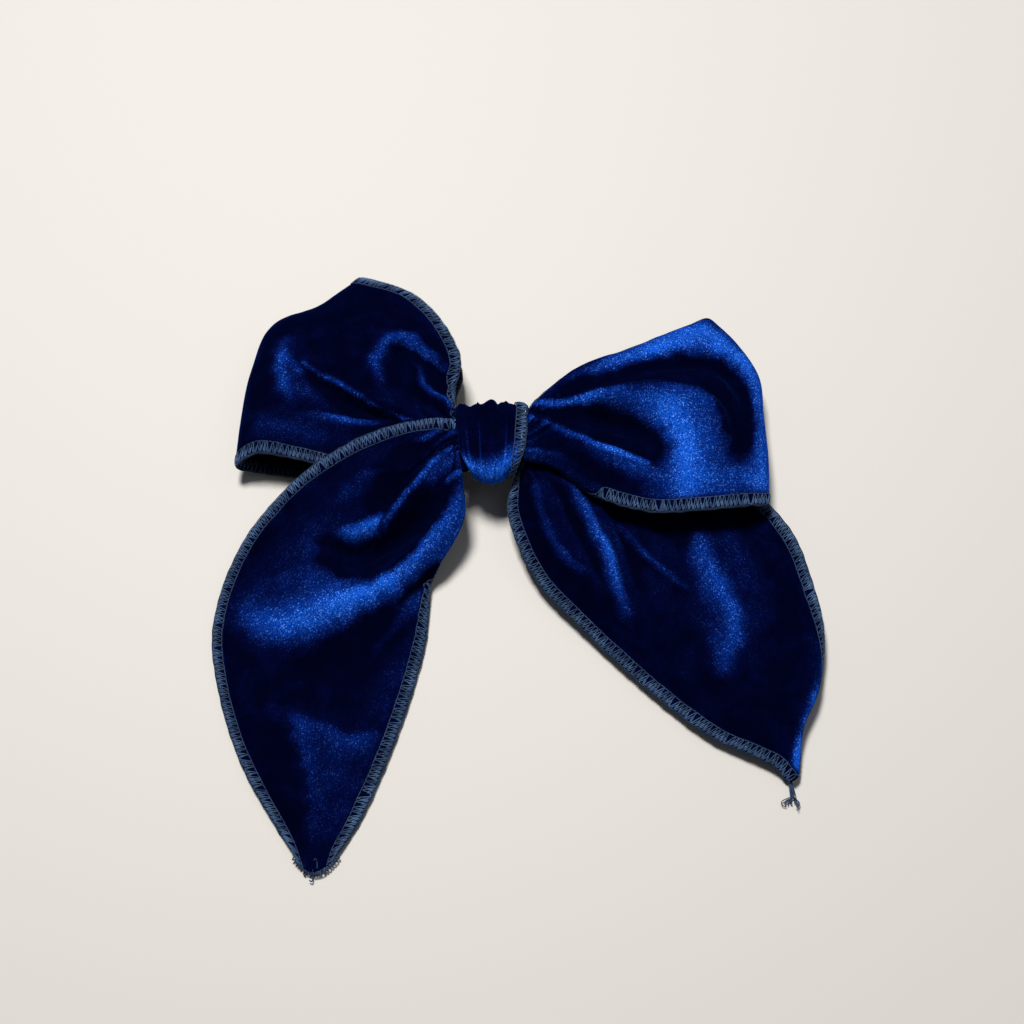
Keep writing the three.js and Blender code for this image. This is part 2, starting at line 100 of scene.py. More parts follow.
RIGHT_TAIL = [
    [(7.6, -4.5, 12.8), (8.6, -1.5, 13), (9, 1.5, 12.8), (9, 4.5, 12.8), (9, 7, 12.6)],
    [(4.4, -13.2, 8.6), (12, -11, 11.5), (17, -6, 12), (20, -1, 11.6), (22, 3, 11)],
    [(6.9, -24.2, 6.6), (15.5, -20, 10.5), (25, -14, 10), (35, -6, 9), (38, -2, 8.3)],
    [(12, -34.8, 5), (23, -30, 9), (35, -22, 8), (50, -12, 6), (55, -6, 5)],
    [(21.6, -46, 4), (32, -40, 8), (46, -30, 6), (61.5, -19, 5.2), (70, -11, 4.5)],
    [(32.4, -57.7, 3), (43, -51, 6), (56, -41, 6), (70.5, -30, 5), (79.4, -22.8, 4.5)],
    [(43.8, -69, 3), (53, -63, 5), (64, -54, 6), (75.5, -44, 6), (83.6, -38, 5)],
    [(54.6, -78, 3.2), (61, -73.5, 5), (69, -66, 6.5), (80.6, -57.2, 8), (85.2, -52.4, 5)],
    [(63, -82.4, 3.5), (67, -79, 5.5), (72.5, -74, 7), (82, -66.4, 6.6), (83, -62, 3.1)],
    [(70, -86.3, 3), (71.8, -84, 4.6), (74, -80.5, 5.6), (77.2, -77, 5.4), (76.6, -73.7, 1.6)],
    [(73.2, -90, 1.4), (73.9, -90, 2), (74.2, -90.2, 2.6), (75, -89, 2.6), (74.8, -86.4, 1.2)],
]

# The front rows of each loop run from its hem to its top edge. The back rows return to the
# knot under them, at these heights and this much further towards the top of the bow.
LEFT_LOOP = [
    [(-9, -2.5, 15.2), (-9, 0, 15.4), (-9, 2.5, 15.4), (-9, 5, 15.4), (-9, 7.5, 15.4), (-9, 10, 15.2)],
    [(-17, -4, 13), (-17, 0, 14.6), (-17, 5, 15), (-16, 10, 16), (-13.5, 14, 16.4), (-9.4, 17.5, 15.5)],
    [(-29, -4, 11), (-29, 3, 13.4), (-27, 11, 15.5), (-24, 19, 17), (-17, 25, 17.4), (-7.6, 27, 16)],
    [(-41, -1, 10.3), (-41, 7, 13.4), (-38, 17, 15.6), (-33, 28, 17), (-25, 36, 17.3), (-12, 38.5, 16)],
    [(-53, 2.3, 11.5), (-52.5, 11, 14.4), (-50, 23, 16), (-45, 35, 16), (-36, 42.5, 15.5),
     (-19.7, 48.3, 14.5)],
    [(-63.5, 4, 11.5), (-62, 14, 12.6), (-59.5, 27, 13), (-54.5, 39.5, 13), (-43, 45.5, 12.8),
     (-28.3, 53.6, 12.5)],
    [(-69, 2.3, 6.8), (-67.8, 14.5, 6.8), (-65.2, 29.8, 6.8), (-59.3, 44.2, 7), (-46.6, 49.2, 7.5),
     (-34.8, 57.4, 8.5)],
]
LEFT_LOOP_BACK = [
    (2, 1.8, 1.8, 1.8, 2.4, 4.5), (1.5, 1.3, 1.3, 1.3, 2, 4), (2.5, 4, 3, 2.5, 3, 5),
    (8, 9.6, 7.5, 6, 6, 7.5), (11.3, 11.7, 11.5, 10.5, 10.5, 11), (12.6, 12.8, 12.8, 12.8, 12.8, 12.6),
]
LEFT_LOOP_SHIFT = (-1.6, 0, 0, 0, 0, 0)

RIGHT_LOOP = [
    [(9, -4, 17.2), (9, -2, 17.8), (9, 0.5, 18), (9, 3, 18), (9, 6, 17.8), (9, 9, 16.6)],
    [(17, -6, 16), (18, -2, 18), (19, 3, 18.5), (19, 9, 18.5), (17.5, 14.2, 18), (15, 16.6, 15.8)],
    [(29.5, -14.8, 15.2), (31, -5, 17.5), (32, 4, 18), (32, 13, 18.5), (29, 21.5, 17), (26, 25, 14)],
    [(42, -18.9, 14.7), (43.5, -8, 17), (44.5, 4, 18.5), (44, 15, 19), (41, 26, 16.5), (38, 29.3, 13.3)],
    [(55, -19.1, 15), (56, -7, 17), (57, 6, 18), (56, 18, 18), (53, 30, 15.5), (50, 34.5, 12.3)],
    [(67, -18, 13.8), (68.2, -5.4, 14.8), (68.6, 8, 15), (66.6, 20, 14.5), (61.8, 31, 13.5),
     (57.6, 37.9, 11.5)],
    [(73, -16.7, 10.5), (74, -3.6, 10), (74, 10, 9.2), (73.8, 21.2, 9), (68.4, 32, 9), (61.4, 40.2, 9.5)],
]
RIGHT_LOOP_BACK = [
    (8, 7, 5, 4, 4, 5.5), (8.6, 7.8, 5, 3, 3, 4.5), (9.8, 9.5, 8, 5, 5, 6.5),
    (11.6, 12, 11.8, 9.5, 9, 10), (14, 14.2, 14.2, 13.8, 13.4, 13.4),
    (15.2, 15.4, 15.4, 15.4, 15.4, 15.2),
]
RIGHT_LOOP_SHIFT = (3, 1, 0, 0, 0, 0)
BACK_NARROWING = 0.985

# ---------- folds ----------
# A fold follows a path across the cloth and rises by so many millimetres, or sinks where
# that is negative, with its own half-width to the left and the right of the path. A stroke
# only paints light on the velvet: a painted highlight where it is positive, painted shade
# where it is negative.


def fold(path, rise, left, right=None):
    return {"kind": "fold", "path": path, "values": rise, "left": left, "right": right or left}


def stroke(path, shine, left, right=None):
    return {**fold(path, shine, left, right), "kind": "stroke"}


def lit_fold(path, rise, sides, shine, lit_sides):
    """A fold, and a stroke of painted light with half-widths of its own along the same path."""
    return [fold(path, rise, *sides), stroke(path, shine, *lit_sides)]


# The strokes in these lists are painted highlights, where positive, and painted shade, where negative.
LEFT_TAIL_FOLDS = [
    *lit_fold([(-9.9, 0), (-13.1, -1.8), (-15.6, -4.4), (-19, -8.4), (-22.1, -11.1), (-24.9, -13.8),
               (-27.4, -16), (-29.4, -18.6), (-31.7, -20.8)], (1, 1.8, 2.4, 2.8, 3, 3, 2.8, 2, 0.6),
              (4, 0.9), (0.66, 0.66, 0.74, 0.78, 0.78, 0.62, 0.3, 0.1, 0), (0.6, 0.55)),
    stroke([(-9.5, -2), (-13.4, -4), (-16.5, -7.4), (-20, -11)], (0.26, 0.28, 0.2, 0.02), 2.4, 1.4),
    stroke([(-19, -11.6), (-22.5, -15), (-26.5, -18.6), (-30.6, -23)], (-0.1, -0.35, -0.6, -0.8), 2, 0.9),
    stroke([(-11, 2), (-15.4, -1.6), (-20, -5.4), (-25, -8.4)], (-0.16, -0.3, -0.4, -0.3), 2.4, 1.4),
    fold([(-12, 3), (-17.5, -2.6), (-24, -8), (-31, -14.5)], (-0.8, -1.2, -1.4, -0.6), 2, 2.4),
    stroke([(-12, 0.6), (-18, -5.2), (-25, -11.4), (-30, -14.4)], (-0.4, -0.5, -0.5, -0.1), 1.2, 2.6),
    fold([(-43, -19.6), (-36.5, -18.6), (-30.6, -17)], (0.5, 1.1, 0.8), 2, 1.8),
    stroke([(-42.6, -19.7), (-38.4, -19.3), (-34.4, -18.4), (-31, -17.2), (-29.3, -15.9)],
           (0.18, 0.6, 0.8, 0.8, 0.5), 1.6, 1.6),
    fold([(-13, -11.5), (-19, -16.5), (-25, -20.4), (-31.5, -23.8), (-38, -24.4), (-43.5, -23)],
         (-0.5, -2.6, -4.4, -4.8, -3.8, -1), 3.8, 3.8),
    stroke([(-14, -12), (-18, -16.6), (-22, -20.6), (-27, -24.8), (-33, -27.6), (-39, -28), (-43, -25)],
           (-0.3, -0.9, -1.6, -2.1, -2.1, -1.2), 2.8, 3.8),
    stroke([(-21, -1), (-26, -6), (-30.5, -10.5)], (-0.3, -0.36, -0.3), 3.6, 3),
    fold([(-8.6, -9), (-10, -13.6), (-14, -19.9), (-18, -24), (-21.2, -27.1), (-24.4, -29.8),
          (-27.6, -32), (-32, -34), (-38.6, -36), (-44, -37.4), (-52, -38.8), (-60, -39.2)],
         (0.6, 1.6, 2.4, 2.8, 3, 3, 2.8, 2.4, 1.8, 1.2, 0.6), 4.4, 2.8),
    stroke([(-8.6, -9), (-10, -13.6), (-14, -20.2), (-18, -24.6), (-21, -27.9), (-24, -30.6),
            (-27.4, -32.8), (-32, -35), (-38.6, -37.2), (-44, -39)],
           (0.06, 0.28, 0.5, 0.62, 0.62, 0.58, 0.6, 0.6, 0.4, 0), 2.2, 1.2),
    stroke([(-31, -34.6), (-38.6, -37), (-44, -39), (-52, -41.8), (-60, -42), (-66, -39.6)],
           (0.16, 0.44, 0.56, 0.5, 0.4, 0.3), 4.2, 6),
    stroke([(-42, -38), (-50, -41), (-57, -42.4), (-65, -41)], (0.04, 0.1, 0.14, 0.1), 4),
    stroke([(-9, -16), (-12.6, -23.6), (-17, -29.4), (-22, -33.6), (-28, -36.4)],
           (0.2, 0.24, 0.16, 0.06, 0), 2.4),
    stroke([(-7.8, -9), (-8, -17), (-12.6, -25.4), (-17, -31)], (0.2, 0.26, 0.26, 0.1), 0.6),
    stroke([(-28, -35.6), (-38, -40.4), (-48, -45), (-57, -46.6), (-64, -45)],
           (0.24, 0.34, 0.26, 0.22, 0.18), 3.2, 3.4),
    stroke([(-40, -31), (-48, -31), (-58, -33), (-66, -32)], (0.1, 0.22, 0.12, 0.06), 4.6),
    stroke([(-44, -15), (-49, -22), (-56, -28)], (0.05, 0.13, 0.1), 6, 7),
    *lit_fold([(-15.4, -29.2), (-20.2, -33.4), (-25.4, -38)], (-1.8, -2.2, -0.8), (0.9, 0.9),
              (-1, -1.2, -0.5), (0.8, 0.8)),
    fold([(-60, -55), (-48, -56), (-37, -50), (-27, -41)], (-0.6, -1.8, -2, -1), 6, 6),
    stroke([(-60, -52), (-47, -56), (-40, -50), (-30, -42)], (0, -0.2, -0.3, -0.3), 6, 7),
    stroke([(-17.6, -33.6), (-22.4, -38.8), (-27.6, -44.4), (-32.6, -50), (-36, -55)],
           (0.06, 0.28, 0.26, 0.22, 0.08), 2.2),
    stroke([(-22, -47), (-27, -57), (-31, -66)], (0.08, 0.08, 0.05), 3),
    fold([(-58, -65), (-52.6, -69.3), (-45, -72), (-39, -74.5), (-31, -72)],
         (0.3, 1, 1.1, 0.9, 0.3), 4, 4),
    stroke([(-56.6, -66), (-52, -69), (-46, -71.4), (-40, -74.6), (-33, -73.6)],
           (0.1, 0.22, 0.22, 0.24, 0.14), 1.2, 3.6),
    stroke([(-53, -73), (-50.4, -80), (-49, -88.4), (-49.4, -97)], (0.16, 0.2, 0.14, 0.06), 4.6, 1.2),
    stroke([(-42, -80), (-40, -88), (-43, -97)], (0.12, 0.12, 0.06), 5),
    stroke([(-58.6, -72), (-56.4, -80), (-55, -88), (-54, -95)], (-0.1, -0.14, -0.14, -0.1), 2, 4),
    *lit_fold([(-10.5, 6.5), (-14, 4.8), (-17.3, 3.4), (-21, 2.8)], (0.7, 0.8, 0.7, 0.2), (0.8,),
              (0.46, 0.38, 0.32, 0.1), (0.65,)),
    *lit_fold([(-10.1, 4), (-13.3, 2.1), (-16.6, -0.4), (-19.4, -2.3), (-22.9, -4.5), (-28.4, -4.4),
               (-33, -4.6)], (0.9, 1, 1, 0.9, 0.8, 0.6, 0.2), (0.9,),
              (0.42, 0.4, 0.36, 0.32, 0.34, 0.18, 0.05), (0.55,)),
    *lit_fold([(-7.5, -6.6), (-11, -8.3), (-12.6, -9.6)], (0.9, 0.8, 0.2), (0.7,), (0.55, 0.5, 0.1),
              (0.5,)),
    stroke([(-33, -6), (-39, -9)], (0.14, 0.12), 3),
]

RIGHT_TAIL_FOLDS = [
    fold([(11.5, -10), (13.5, -19.5), (17.4, -27.3), (22.5, -32.6), (28, -39)],
         (0.8, 1.2, 1.2, 0.8, 0.3), 1.8, 2.4),
    stroke([(11.5, -10), (13.5, -19.5), (17.4, -27.3), (22.5, -32.6)], (0.2, 0.26, 0.3, 0.2), 0.8, 1.2),
    fold([(16.5, -9), (20, -18.4), (24.5, -28), (29, -38)], (-1, -1.8, -1.4, -0.4), 2.2),
    fold([(20, -7), (24.6, -16.6), (28, -24), (29.8, -29.3), (31.4, -37), (34.4, -45)],
         (1, 2.2, 2.4, 2.2, 1.5, 0.4), 1.6, 3),
    stroke([(20, -7), (24.6, -16.6), (28.1, -24), (30.1, -29.3), (31.8, -37), (34.6, -45)],
           (0.24, 0.42, 0.6, 0.64, 0.5, 0.22), 1.1, 2),
    fold([(30, -14), (33, -21), (35, -30), (37.5, -41)], (-0.8, -1.6, -1.4, -0.4), 2),
    fold([(33, -20), (38.7, -27.6), (43.8, -32.7), (50, -38.2)], (0.8, 1.2, 1, 0.3), 1, 1.6),
    stroke([(33.5, -20.5), (38.7, -27.6), (43.8, -32.7), (50, -38.2)], (0.1, 0.26, 0.26, 0.14), 0.7),
    fold([(42, -18), (50, -28), (56, -40)], (-0.8, -1.6, -0.6), 4),
    fold([(54, -22), (57.4, -36), (61, -45.5), (61, -53), (58, -60)], (0.4, 1.8, 2.2, 1.6, 0.4), 4, 4),
    stroke([(54.8, -24), (57, -33), (60.4, -42), (61.8, -51), (59, -60)],
           (0.3, 0.42, 0.52, 0.48, 0.24), 2.5, 2.8),
    stroke([(53, -28), (55.4, -38), (57, -48), (57, -58)], (0.18, 0.26, 0.24, 0.18), 2.8),
    stroke([(62, -24), (66, -36), (68, -48)], (0.14, 0.12, 0.05), 3.4),
    fold([(70, -26), (74, -42), (72, -58)], (-0.8, -1.4, -0.8), 5),
    stroke([(82.8, -65), (80.7, -72), (77.9, -79), (75.6, -87)], (0.1, 0.54, 0.66, 0.5), 1.2, 1.5),
    stroke([(82, -67), (79.6, -74), (77, -80.4), (75.3, -86)], (0.1, 0.44, 0.5, 0.4), 1.5),
]

LEFT_LOOP_FOLDS = [
    fold([(-50.3, 28), (-45.6, 23.9), (-41, 21.1), (-36.9, 18.3), (-30.7, 14), (-24, 10.4), (-21, 8.8),
          (-11, 4)], (0.4, 1.2, 2, 2.6, 2.8, 2.4, 2.2, 1), 4, 0.8),
    stroke([(-50.3, 28), (-45.6, 23.9), (-41, 21.1), (-36.9, 18.3), (-30.7, 14), (-24, 10.4), (-21, 8.8)],
           (0.3, 0.55, 0.76, 0.84, 0.84, 0.7, 0.26), 0.5, 0.36),
    stroke([(-55.4, 31), (-52, 27), (-48.4, 23), (-44, 20)], (0.24, 0.3, 0.22, 0.05), 1.6),
    fold([(-47, 22), (-39, 16.2), (-31, 12.4), (-23, 9)], (-0.6, -1.8, -2, -0.8), 1.8, 2),
    stroke([(-48.6, 24), (-44, 20.4), (-39, 17), (-34, 14), (-29, 11.6), (-25, 10)],
           (-0.3, -0.9, -1.6, -1.8, -1.6, -0.8), 1.15, 1.9),
    stroke([(-55, 22), (-50, 19.6), (-45, 16.8)], (0.14, 0.2, 0.12), 3),
    fold([(-49.5, 13.4), (-42.5, 11.6), (-39, 10.5), (-32.2, 9.2), (-23.3, 8.6), (-12, 5)],
         (0.2, 0.8, 1.2, 1.5, 1.4, 0.8), 0.8, 2.6),
    stroke([(-50.5, 13.4), (-46, 12.4), (-42.5, 11.4), (-39, 10.4), (-34, 9.4)],
           (0.08, 0.18, 0.2, 0.12, 0.03), 0.9, 1.4),
    stroke([(-44, 12), (-39, 10.5), (-32.2, 9.2), (-23.3, 8.6)], (0.16, 0.34, 0.36, 0.18), 0.6, 0.6),
    stroke([(-62, 12), (-52, 8.5), (-42, 6.5), (-30, 4)], (0.2, 0.17, 0.14, 0.06), 4, 3.6),
    fold([(-54, 38), (-56, 32.5), (-55.8, 27), (-54.5, 21)], (0.4, 1, 1, 0.4), 3),
    stroke([(-55, 36), (-56.4, 32), (-56, 27), (-55, 22), (-53.4, 17)],
           (0.22, 0.34, 0.48, 0.32, 0.12), 1.7, 2.2),
    fold([(-29, 20), (-31, 25), (-30.8, 29.4), (-27.6, 32.8), (-23.2, 33.4), (-18.4, 30.2), (-14, 24.8),
          (-9.7, 19)], (0.3, 0.9, 1.3, 1.4, 1.7, 1.8, 1.8, 1.2), 3, 2.4),
    stroke([(-28.2, 19), (-29.8, 23.6), (-30, 28.4), (-27, 32.4), (-22.8, 33.2), (-18.2, 29.9),
            (-14.2, 25.8), (-11.2, 22)], (0.04, 0.28, 0.42, 0.38, 0.4, 0.48, 0.52, 0.3), 1.8, 1.3),
    stroke([(-56, 42), (-46, 45), (-36, 49), (-26, 47)], (-0.1, -0.14, -0.14, -0.1), 5),
    stroke([(-44, 32), (-40, 26), (-34, 21)], (-0.1, -0.14, -0.1), 4),
    stroke([(-25.6, 20.4), (-25.2, 25), (-22.4, 27.6), (-19, 25.8)], (-0.3, -0.4, -0.5, -0.4), 1.5),
    stroke([(-28, 38.4), (-22, 37.6), (-16, 32.6), (-12, 26)], (-0.16, -0.3, -0.3, -0.16), 1.7),
    fold([(-26.6, 23), (-25.6, 28.4), (-22, 30.4), (-18.4, 28.4)], (-0.5, -1.6, -1.8, -1.4), 2),
    fold([(-20.9, 25.9), (-17.9, 23), (-17.9, 18.8), (-15.2, 15.6), (-11.6, 13.2), (-9.4, 10.8)],
         (0.6, 1.6, 1.9, 2, 1.8, 1), 1.2, 1.8),
    stroke([(-20.9, 25.9), (-18, 23), (-17.8, 19.2), (-15.4, 16.4), (-11.4, 13.9), (-9.2, 11.6)],
           (0.14, 0.28, 0.32, 0.32, 0.44, 0.76), 0.65, 0.65),
    fold([(-16, 26), (-13, 22.6), (-10.3, 19)], (-1.6, -2.8, -2), 2),
    stroke([(-16.5, 25), (-13, 21.2), (-10.3, 17.4)], (-0.6, -1, -1), 1.8),
    fold([(-52, 40), (-40, 37), (-33, 30)], (-0.6, -1.2, -0.6), 6),
]

RIGHT_LOOP_FOLDS = [
    fold([(9, 11.8), (11.1, 12.3), (17.9, 12), (24.7, 12.5), (30.1, 13.7), (35.5, 14.3), (42.2, 14.4),
          (46.3, 14.2), (51.6, 13.4), (57, 11.8), (61, 8.6), (62.8, 3), (62, -2)],
         (0.8, 1.2, 2, 2.6, 3, 3, 3, 3, 2.8, 2.4, 2, 1.2, 0.4), 1.2, 5),
    stroke([(9, 11.8), (17.9, 12), (24.7, 12.5), (30.1, 13.7), (35.5, 14.3), (42.2, 14.4), (50, 13.8),
            (57, 11.8)], (0.38, 0.46, 0.46, 0.46, 0.38, 0.26, 0.12, 0), 0.6, 1),
    stroke([(11, 12), (18, 11.8), (26, 12.4), (36, 13), (50, 10)],
           (0.46, 0.44, 0.4, 0.24, 0.1), 1.2, 2.4),
    fold([(20, 17.6), (32, 19), (42.5, 21.4), (52, 22.5), (60, 22), (66, 18.4), (69, 12), (68.5, 4),
          (66, -3)], (-0.5, -1.6, -2.6, -3, -3, -2.6, -2.2, -1.6, -0.5), 3.4, 3.2),
    stroke([(22, 16.6), (34, 18.2), (43, 20), (52, 21), (59.5, 20.4), (65, 16.8), (67.2, 10), (67.2, 3),
            (65.4, -5)], (-0.2, -0.5, -0.95, -1.3, -1.5, -1.4, -1.2, -0.8, -0.2), 3.6, 3.8),
    fold([(14, 11), (20, 9.6), (29, 7.6), (36.4, 4.6), (40.4, 2), (43.4, -1)],
         (-1.2, -3, -4.8, -4.8, -3.4, -1), 3.6, 4),
    stroke([(52, 18.5), (58, 16.5), (62.4, 11), (63.4, 4)], (-0.2, -0.5, -0.5, -0.3), 1.8),
    stroke([(15, 9.4), (21, 8.2), (28.6, 6.4), (35.4, 3.6), (39.8, 0.8), (42.6, -2.4)],
           (-0.5, -1.1, -1.7, -1.7, -1.5, -0.6), 3.7, 3.4),
    stroke([(13, 8), (20, 5), (28, 1.6), (35, -1.6), (41, -4.2)],
           (-0.3, -0.7, -0.9, -0.9, -0.4), 2.2, 1.6),
    *lit_fold([(9, 8), (11.8, 7.2), (14.9, 5.6), (18.8, 3.2), (24, 0.6), (29.2, -2.1), (32.4, -3.3),
               (37, -5), (41.4, -6.8)], (1, 1.4, 1.8, 2.2, 2.5, 2.6, 2.5, 2, 0.8), (1.1, 4),
              (0.3, 0.6, 0.62, 0.66, 0.8, 0.86, 0.86, 0.76, 0.5), (0.6, 0.75)),
    stroke([(22, 0.2), (29, -3.6), (34, -5.6), (40, -8.2), (45, -10)],
           (0, 0.06, 0.2, 0.2, 0.14), 1.4, 2.2),
    stroke([(12, 2.6), (20, -2), (29, -8), (38, -13)], (-0.18, -0.26, -0.32, -0.24), 3, 4),
    *lit_fold([(10, -1.5), (16, -2.6), (22, -5.6)], (0.6, 0.6, 0.3), (0.8,), (0.16, 0.14, 0.05), (0.6,)),
    fold([(45, 13), (53, 7), (56, -2), (53, -10)], (0.6, 1.6, 1.6, 0.5), 6),
    stroke([(41, 8.4), (48, 6), (51.6, 0.6), (51.8, -7), (51, -14)],
           (0.2, 0.56, 0.74, 0.68, 0.5), 4.4, 4.8),
    stroke([(50, 12), (56.6, 10.8), (60.6, 7)], (0.08, 0.2, 0.1), 2),
    stroke([(48, 10), (56, 7), (58.6, 0), (58, -8)], (0.2, 0.18, 0.16, 0.14), 4),
    stroke([(57, -13), (65, -10.4), (71, -10)], (0.24, 0.28, 0.26), 4),
    stroke([(46, 27), (54, 28.6), (62, 28.6), (67, 25.6)], (0.16, 0.34, 0.34, 0.2), 2.4),
    stroke([(24, 27), (36, 30.4), (48, 33), (58.7, 33), (66.9, 29.6), (72, 22), (73.4, 14), (73, 2),
            (71.7, -11)], (0.02, 0.06, 0.26, 0.22, 0.2, 0.34, 0.46, 0.44, 0.36), 3.4),
    stroke([(70.4, 26), (73.6, 18), (73.6, 6), (73.6, -4), (72.5, -13)], (0.5, 0.45, 0.36, 0.34, 0.3), 2),
    stroke([(34, 25.4), (48, 30), (60, 35), (66, 31), (71, 25)], (0.3, 0.5, 0.64, 0.6, 0.5), 4.4),
    stroke([(12, 14), (22, 20), (34, 24.4), (46, 28)], (0.32, 0.34, 0.34, 0.26), 2.6),
]

# ---------- splines and lofts ----------


def spline(points, at):
    """Points on a centripetal Catmull-Rom curve, or on many side by side, at 0 to 1."""
    points = np.asarray(points, float)
    ends = [2 * points[0] - points[1]], points, [2 * points[-1] - points[-2]]
    control = np.concatenate(ends)
    place = np.asarray(at) * (len(points) - 1)
    first = np.clip(place.astype(int), 0, len(points) - 2)
    shape = (-1,) + (1,) * (points.ndim - 1)
    w = (place - first).reshape(shape)
    p0, p1, p2, p3 = (control[first + k] for k in range(4))

    def gap(a, b):
        return np.maximum(np.linalg.norm(b - a, axis=-1, keepdims=True), 1e-6) ** 0.5

    g0, g1, g2 = gap(p0, p1), gap(p1, p2), gap(p2, p3)
    start = ((p1 - p0) / g0 - (p2 - p0) / (g0 + g1) + (p2 - p1) / g1) * g1
    end = ((p2 - p1) / g1 - (p3 - p1) / (g1 + g2) + (p3 - p2) / g2) * g1
    return (
        (2 * w**3 - 3 * w**2 + 1) * p1
        + (w**3 - 2 * w**2 + w) * start
        + (3 * w**2 - 2 * w**3) * p2
        + (w**3 - w**2) * end
    )


def loft(net, along, across):
    columns = spline(net, along)
    return spline(columns.swapaxes(0, 1), across).swapaxes(0, 1)


def loop_net(front, back, shift):
    returning = [
        [(x * BACK_NARROWING, y + up, z) for (x, y, _), z, up in zip(row, heights, shift)]
        for row, heights in zip(reversed(front[:-1]), back)
    ]
    return front + returning


def lengths(line):
    steps = np.linalg.norm(np.diff(line, axis=0), axis=1)
    return np.concatenate([[0], np.cumsum(steps)])


def interp_columns(at, known, table):
    """np.interp on every column of a table at once."""
    return np.stack([np.interp(at, known, column) for column in table.T], -1)


def unit(vectors):
    return vectors / np.maximum(np.linalg.norm(vectors, axis=-1, keepdims=True), 1e-9)


def normals_of(grid):
    along = np.gradient(grid, axis=0)
    over = np.gradient(grid, axis=1)
    return unit(np.cross(along, over))


def waviness(points, size, seed):
    """Smooth aimless unevenness between -1 and 1, with humps about size apart."""
    rng = np.random.default_rng(seed)
    total = np.zeros(points.shape[:-1])
    for _ in range(9):
        heading = unit(rng.normal(size=3))
        pace = rng.uniform(0.6, 1.6) * 2 * math.pi / (2 * size)
        total += np.sin(points @ heading * pace + rng.uniform(0, 2 * math.pi))
    return total / 4.5


# ---------- folding the cloth ----------

PATH_STEPS = 48                          # points along a fold's path
WANDER_SIZE, RAGGED_SIZE = 3.0, 1.1      # humps of the unevenness that a path is drawn with
STROKE_DRIFT, FOLD_DRIFT = 0.3, 0.12     # how far that moves a stroke, for its width, or a fold
RAGGEDNESS = 0.1                         # how far its finer part moves either, for its width
ROLL_BAND = 5.6                          # the width of cloth in a rolled edge
ROLL_TURN = 3.7                          # the angle that a rolled edge turns through, in radians


def smooth(value, low, high):
    """0 below low and 1 above high, eased between them."""
    t = np.clip((value - low) / (high - low), 0, 1)
    return t * t * (3 - 2 * t)


def crease(grid, folds, weight, seed):
    """Raises and lowers the grid along its folds, and returns the painted highlights and shade of its
    strokes.
    """
    shine = np.zeros(grid.shape[:2])
    lift = np.zeros(grid.shape[:2])
    wander = np.stack([waviness(grid, WANDER_SIZE, seed + k) for k in (3, 4)], -1)
    ragged = np.stack([waviness(grid, RAGGED_SIZE, seed + k) for k in (6, 7)], -1)
    steps = np.linspace(0, 1, PATH_STEPS)
    for one in folds:
        is_stroke = one["kind"] == "stroke"
        path = spline(one["path"], steps)
        along = np.interp(steps, np.linspace(0, 1, len(one["values"])), one["values"])
        heading = unit(np.gradient(path, axis=0))
        drift = STROKE_DRIFT * min(one["left"], 1.5) if is_stroke else FOLD_DRIFT
        spots = grid[..., :2] + drift * wander + RAGGEDNESS * min(one["left"], 3) * ragged
        offset = spots[:, :, None] - path[None, None]
        near = (offset**2).sum(-1).argmin(-1)
        away = np.take_along_axis(offset, near[..., None, None], 2)[:, :, 0]
        side = heading[near][..., 0] * away[..., 1] - heading[near][..., 1] * away[..., 0]
        width = np.where(side > 0, one["left"], one["right"])
        bell = np.exp(-(np.linalg.norm(away, axis=-1) / width) ** 2)
        if is_stroke:
            shine += along[near] * bell
        else:
            lift += along[near] * bell
    grid[..., 2] += lift * weight
    return shine * weight


def gathers(grid, across, run, seed, depth, reach, count):
    """Small pleats that radiate from the knot and die away."""
    rng = np.random.default_rng(seed)
    turn = 2 * math.pi * count * across + rng.uniform(0, 6)
    wave = np.sin(turn + 1.2 * np.sin(turn * 0.37)) + 0.5 * np.sin(1.9 * turn + rng.uniform(0, 6))
    fade = np.exp(-(run / reach) ** 2)
    grid[..., 2] += depth * wave[None, :] * fade[:, None]


def from_edge(grid, side):
    """How far each point of the grid lies from one of its long edges, along the cloth."""
    steps = np.linalg.norm(np.diff(grid, axis=1), axis=2)
    if side < 0:
        steps = steps[:, ::-1]
    run = np.concatenate([np.zeros((len(grid), 1)), np.cumsum(steps, axis=1)], axis=1)
    return run[:, ::-1] if side < 0 else run


def steady(values, span=15):
    """A running mean along the rows, so that a rolled edge does not jump between them."""
    padded = np.concatenate([values[:1].repeat(span, 0), values, values[-1:].repeat(span, 0)])
    weights = np.hanning(2 * span + 1) / np.hanning(2 * span + 1).sum()
    return np.stack([np.convolve(padded[:, k], weights, "valid") for k in range(3)], -1)


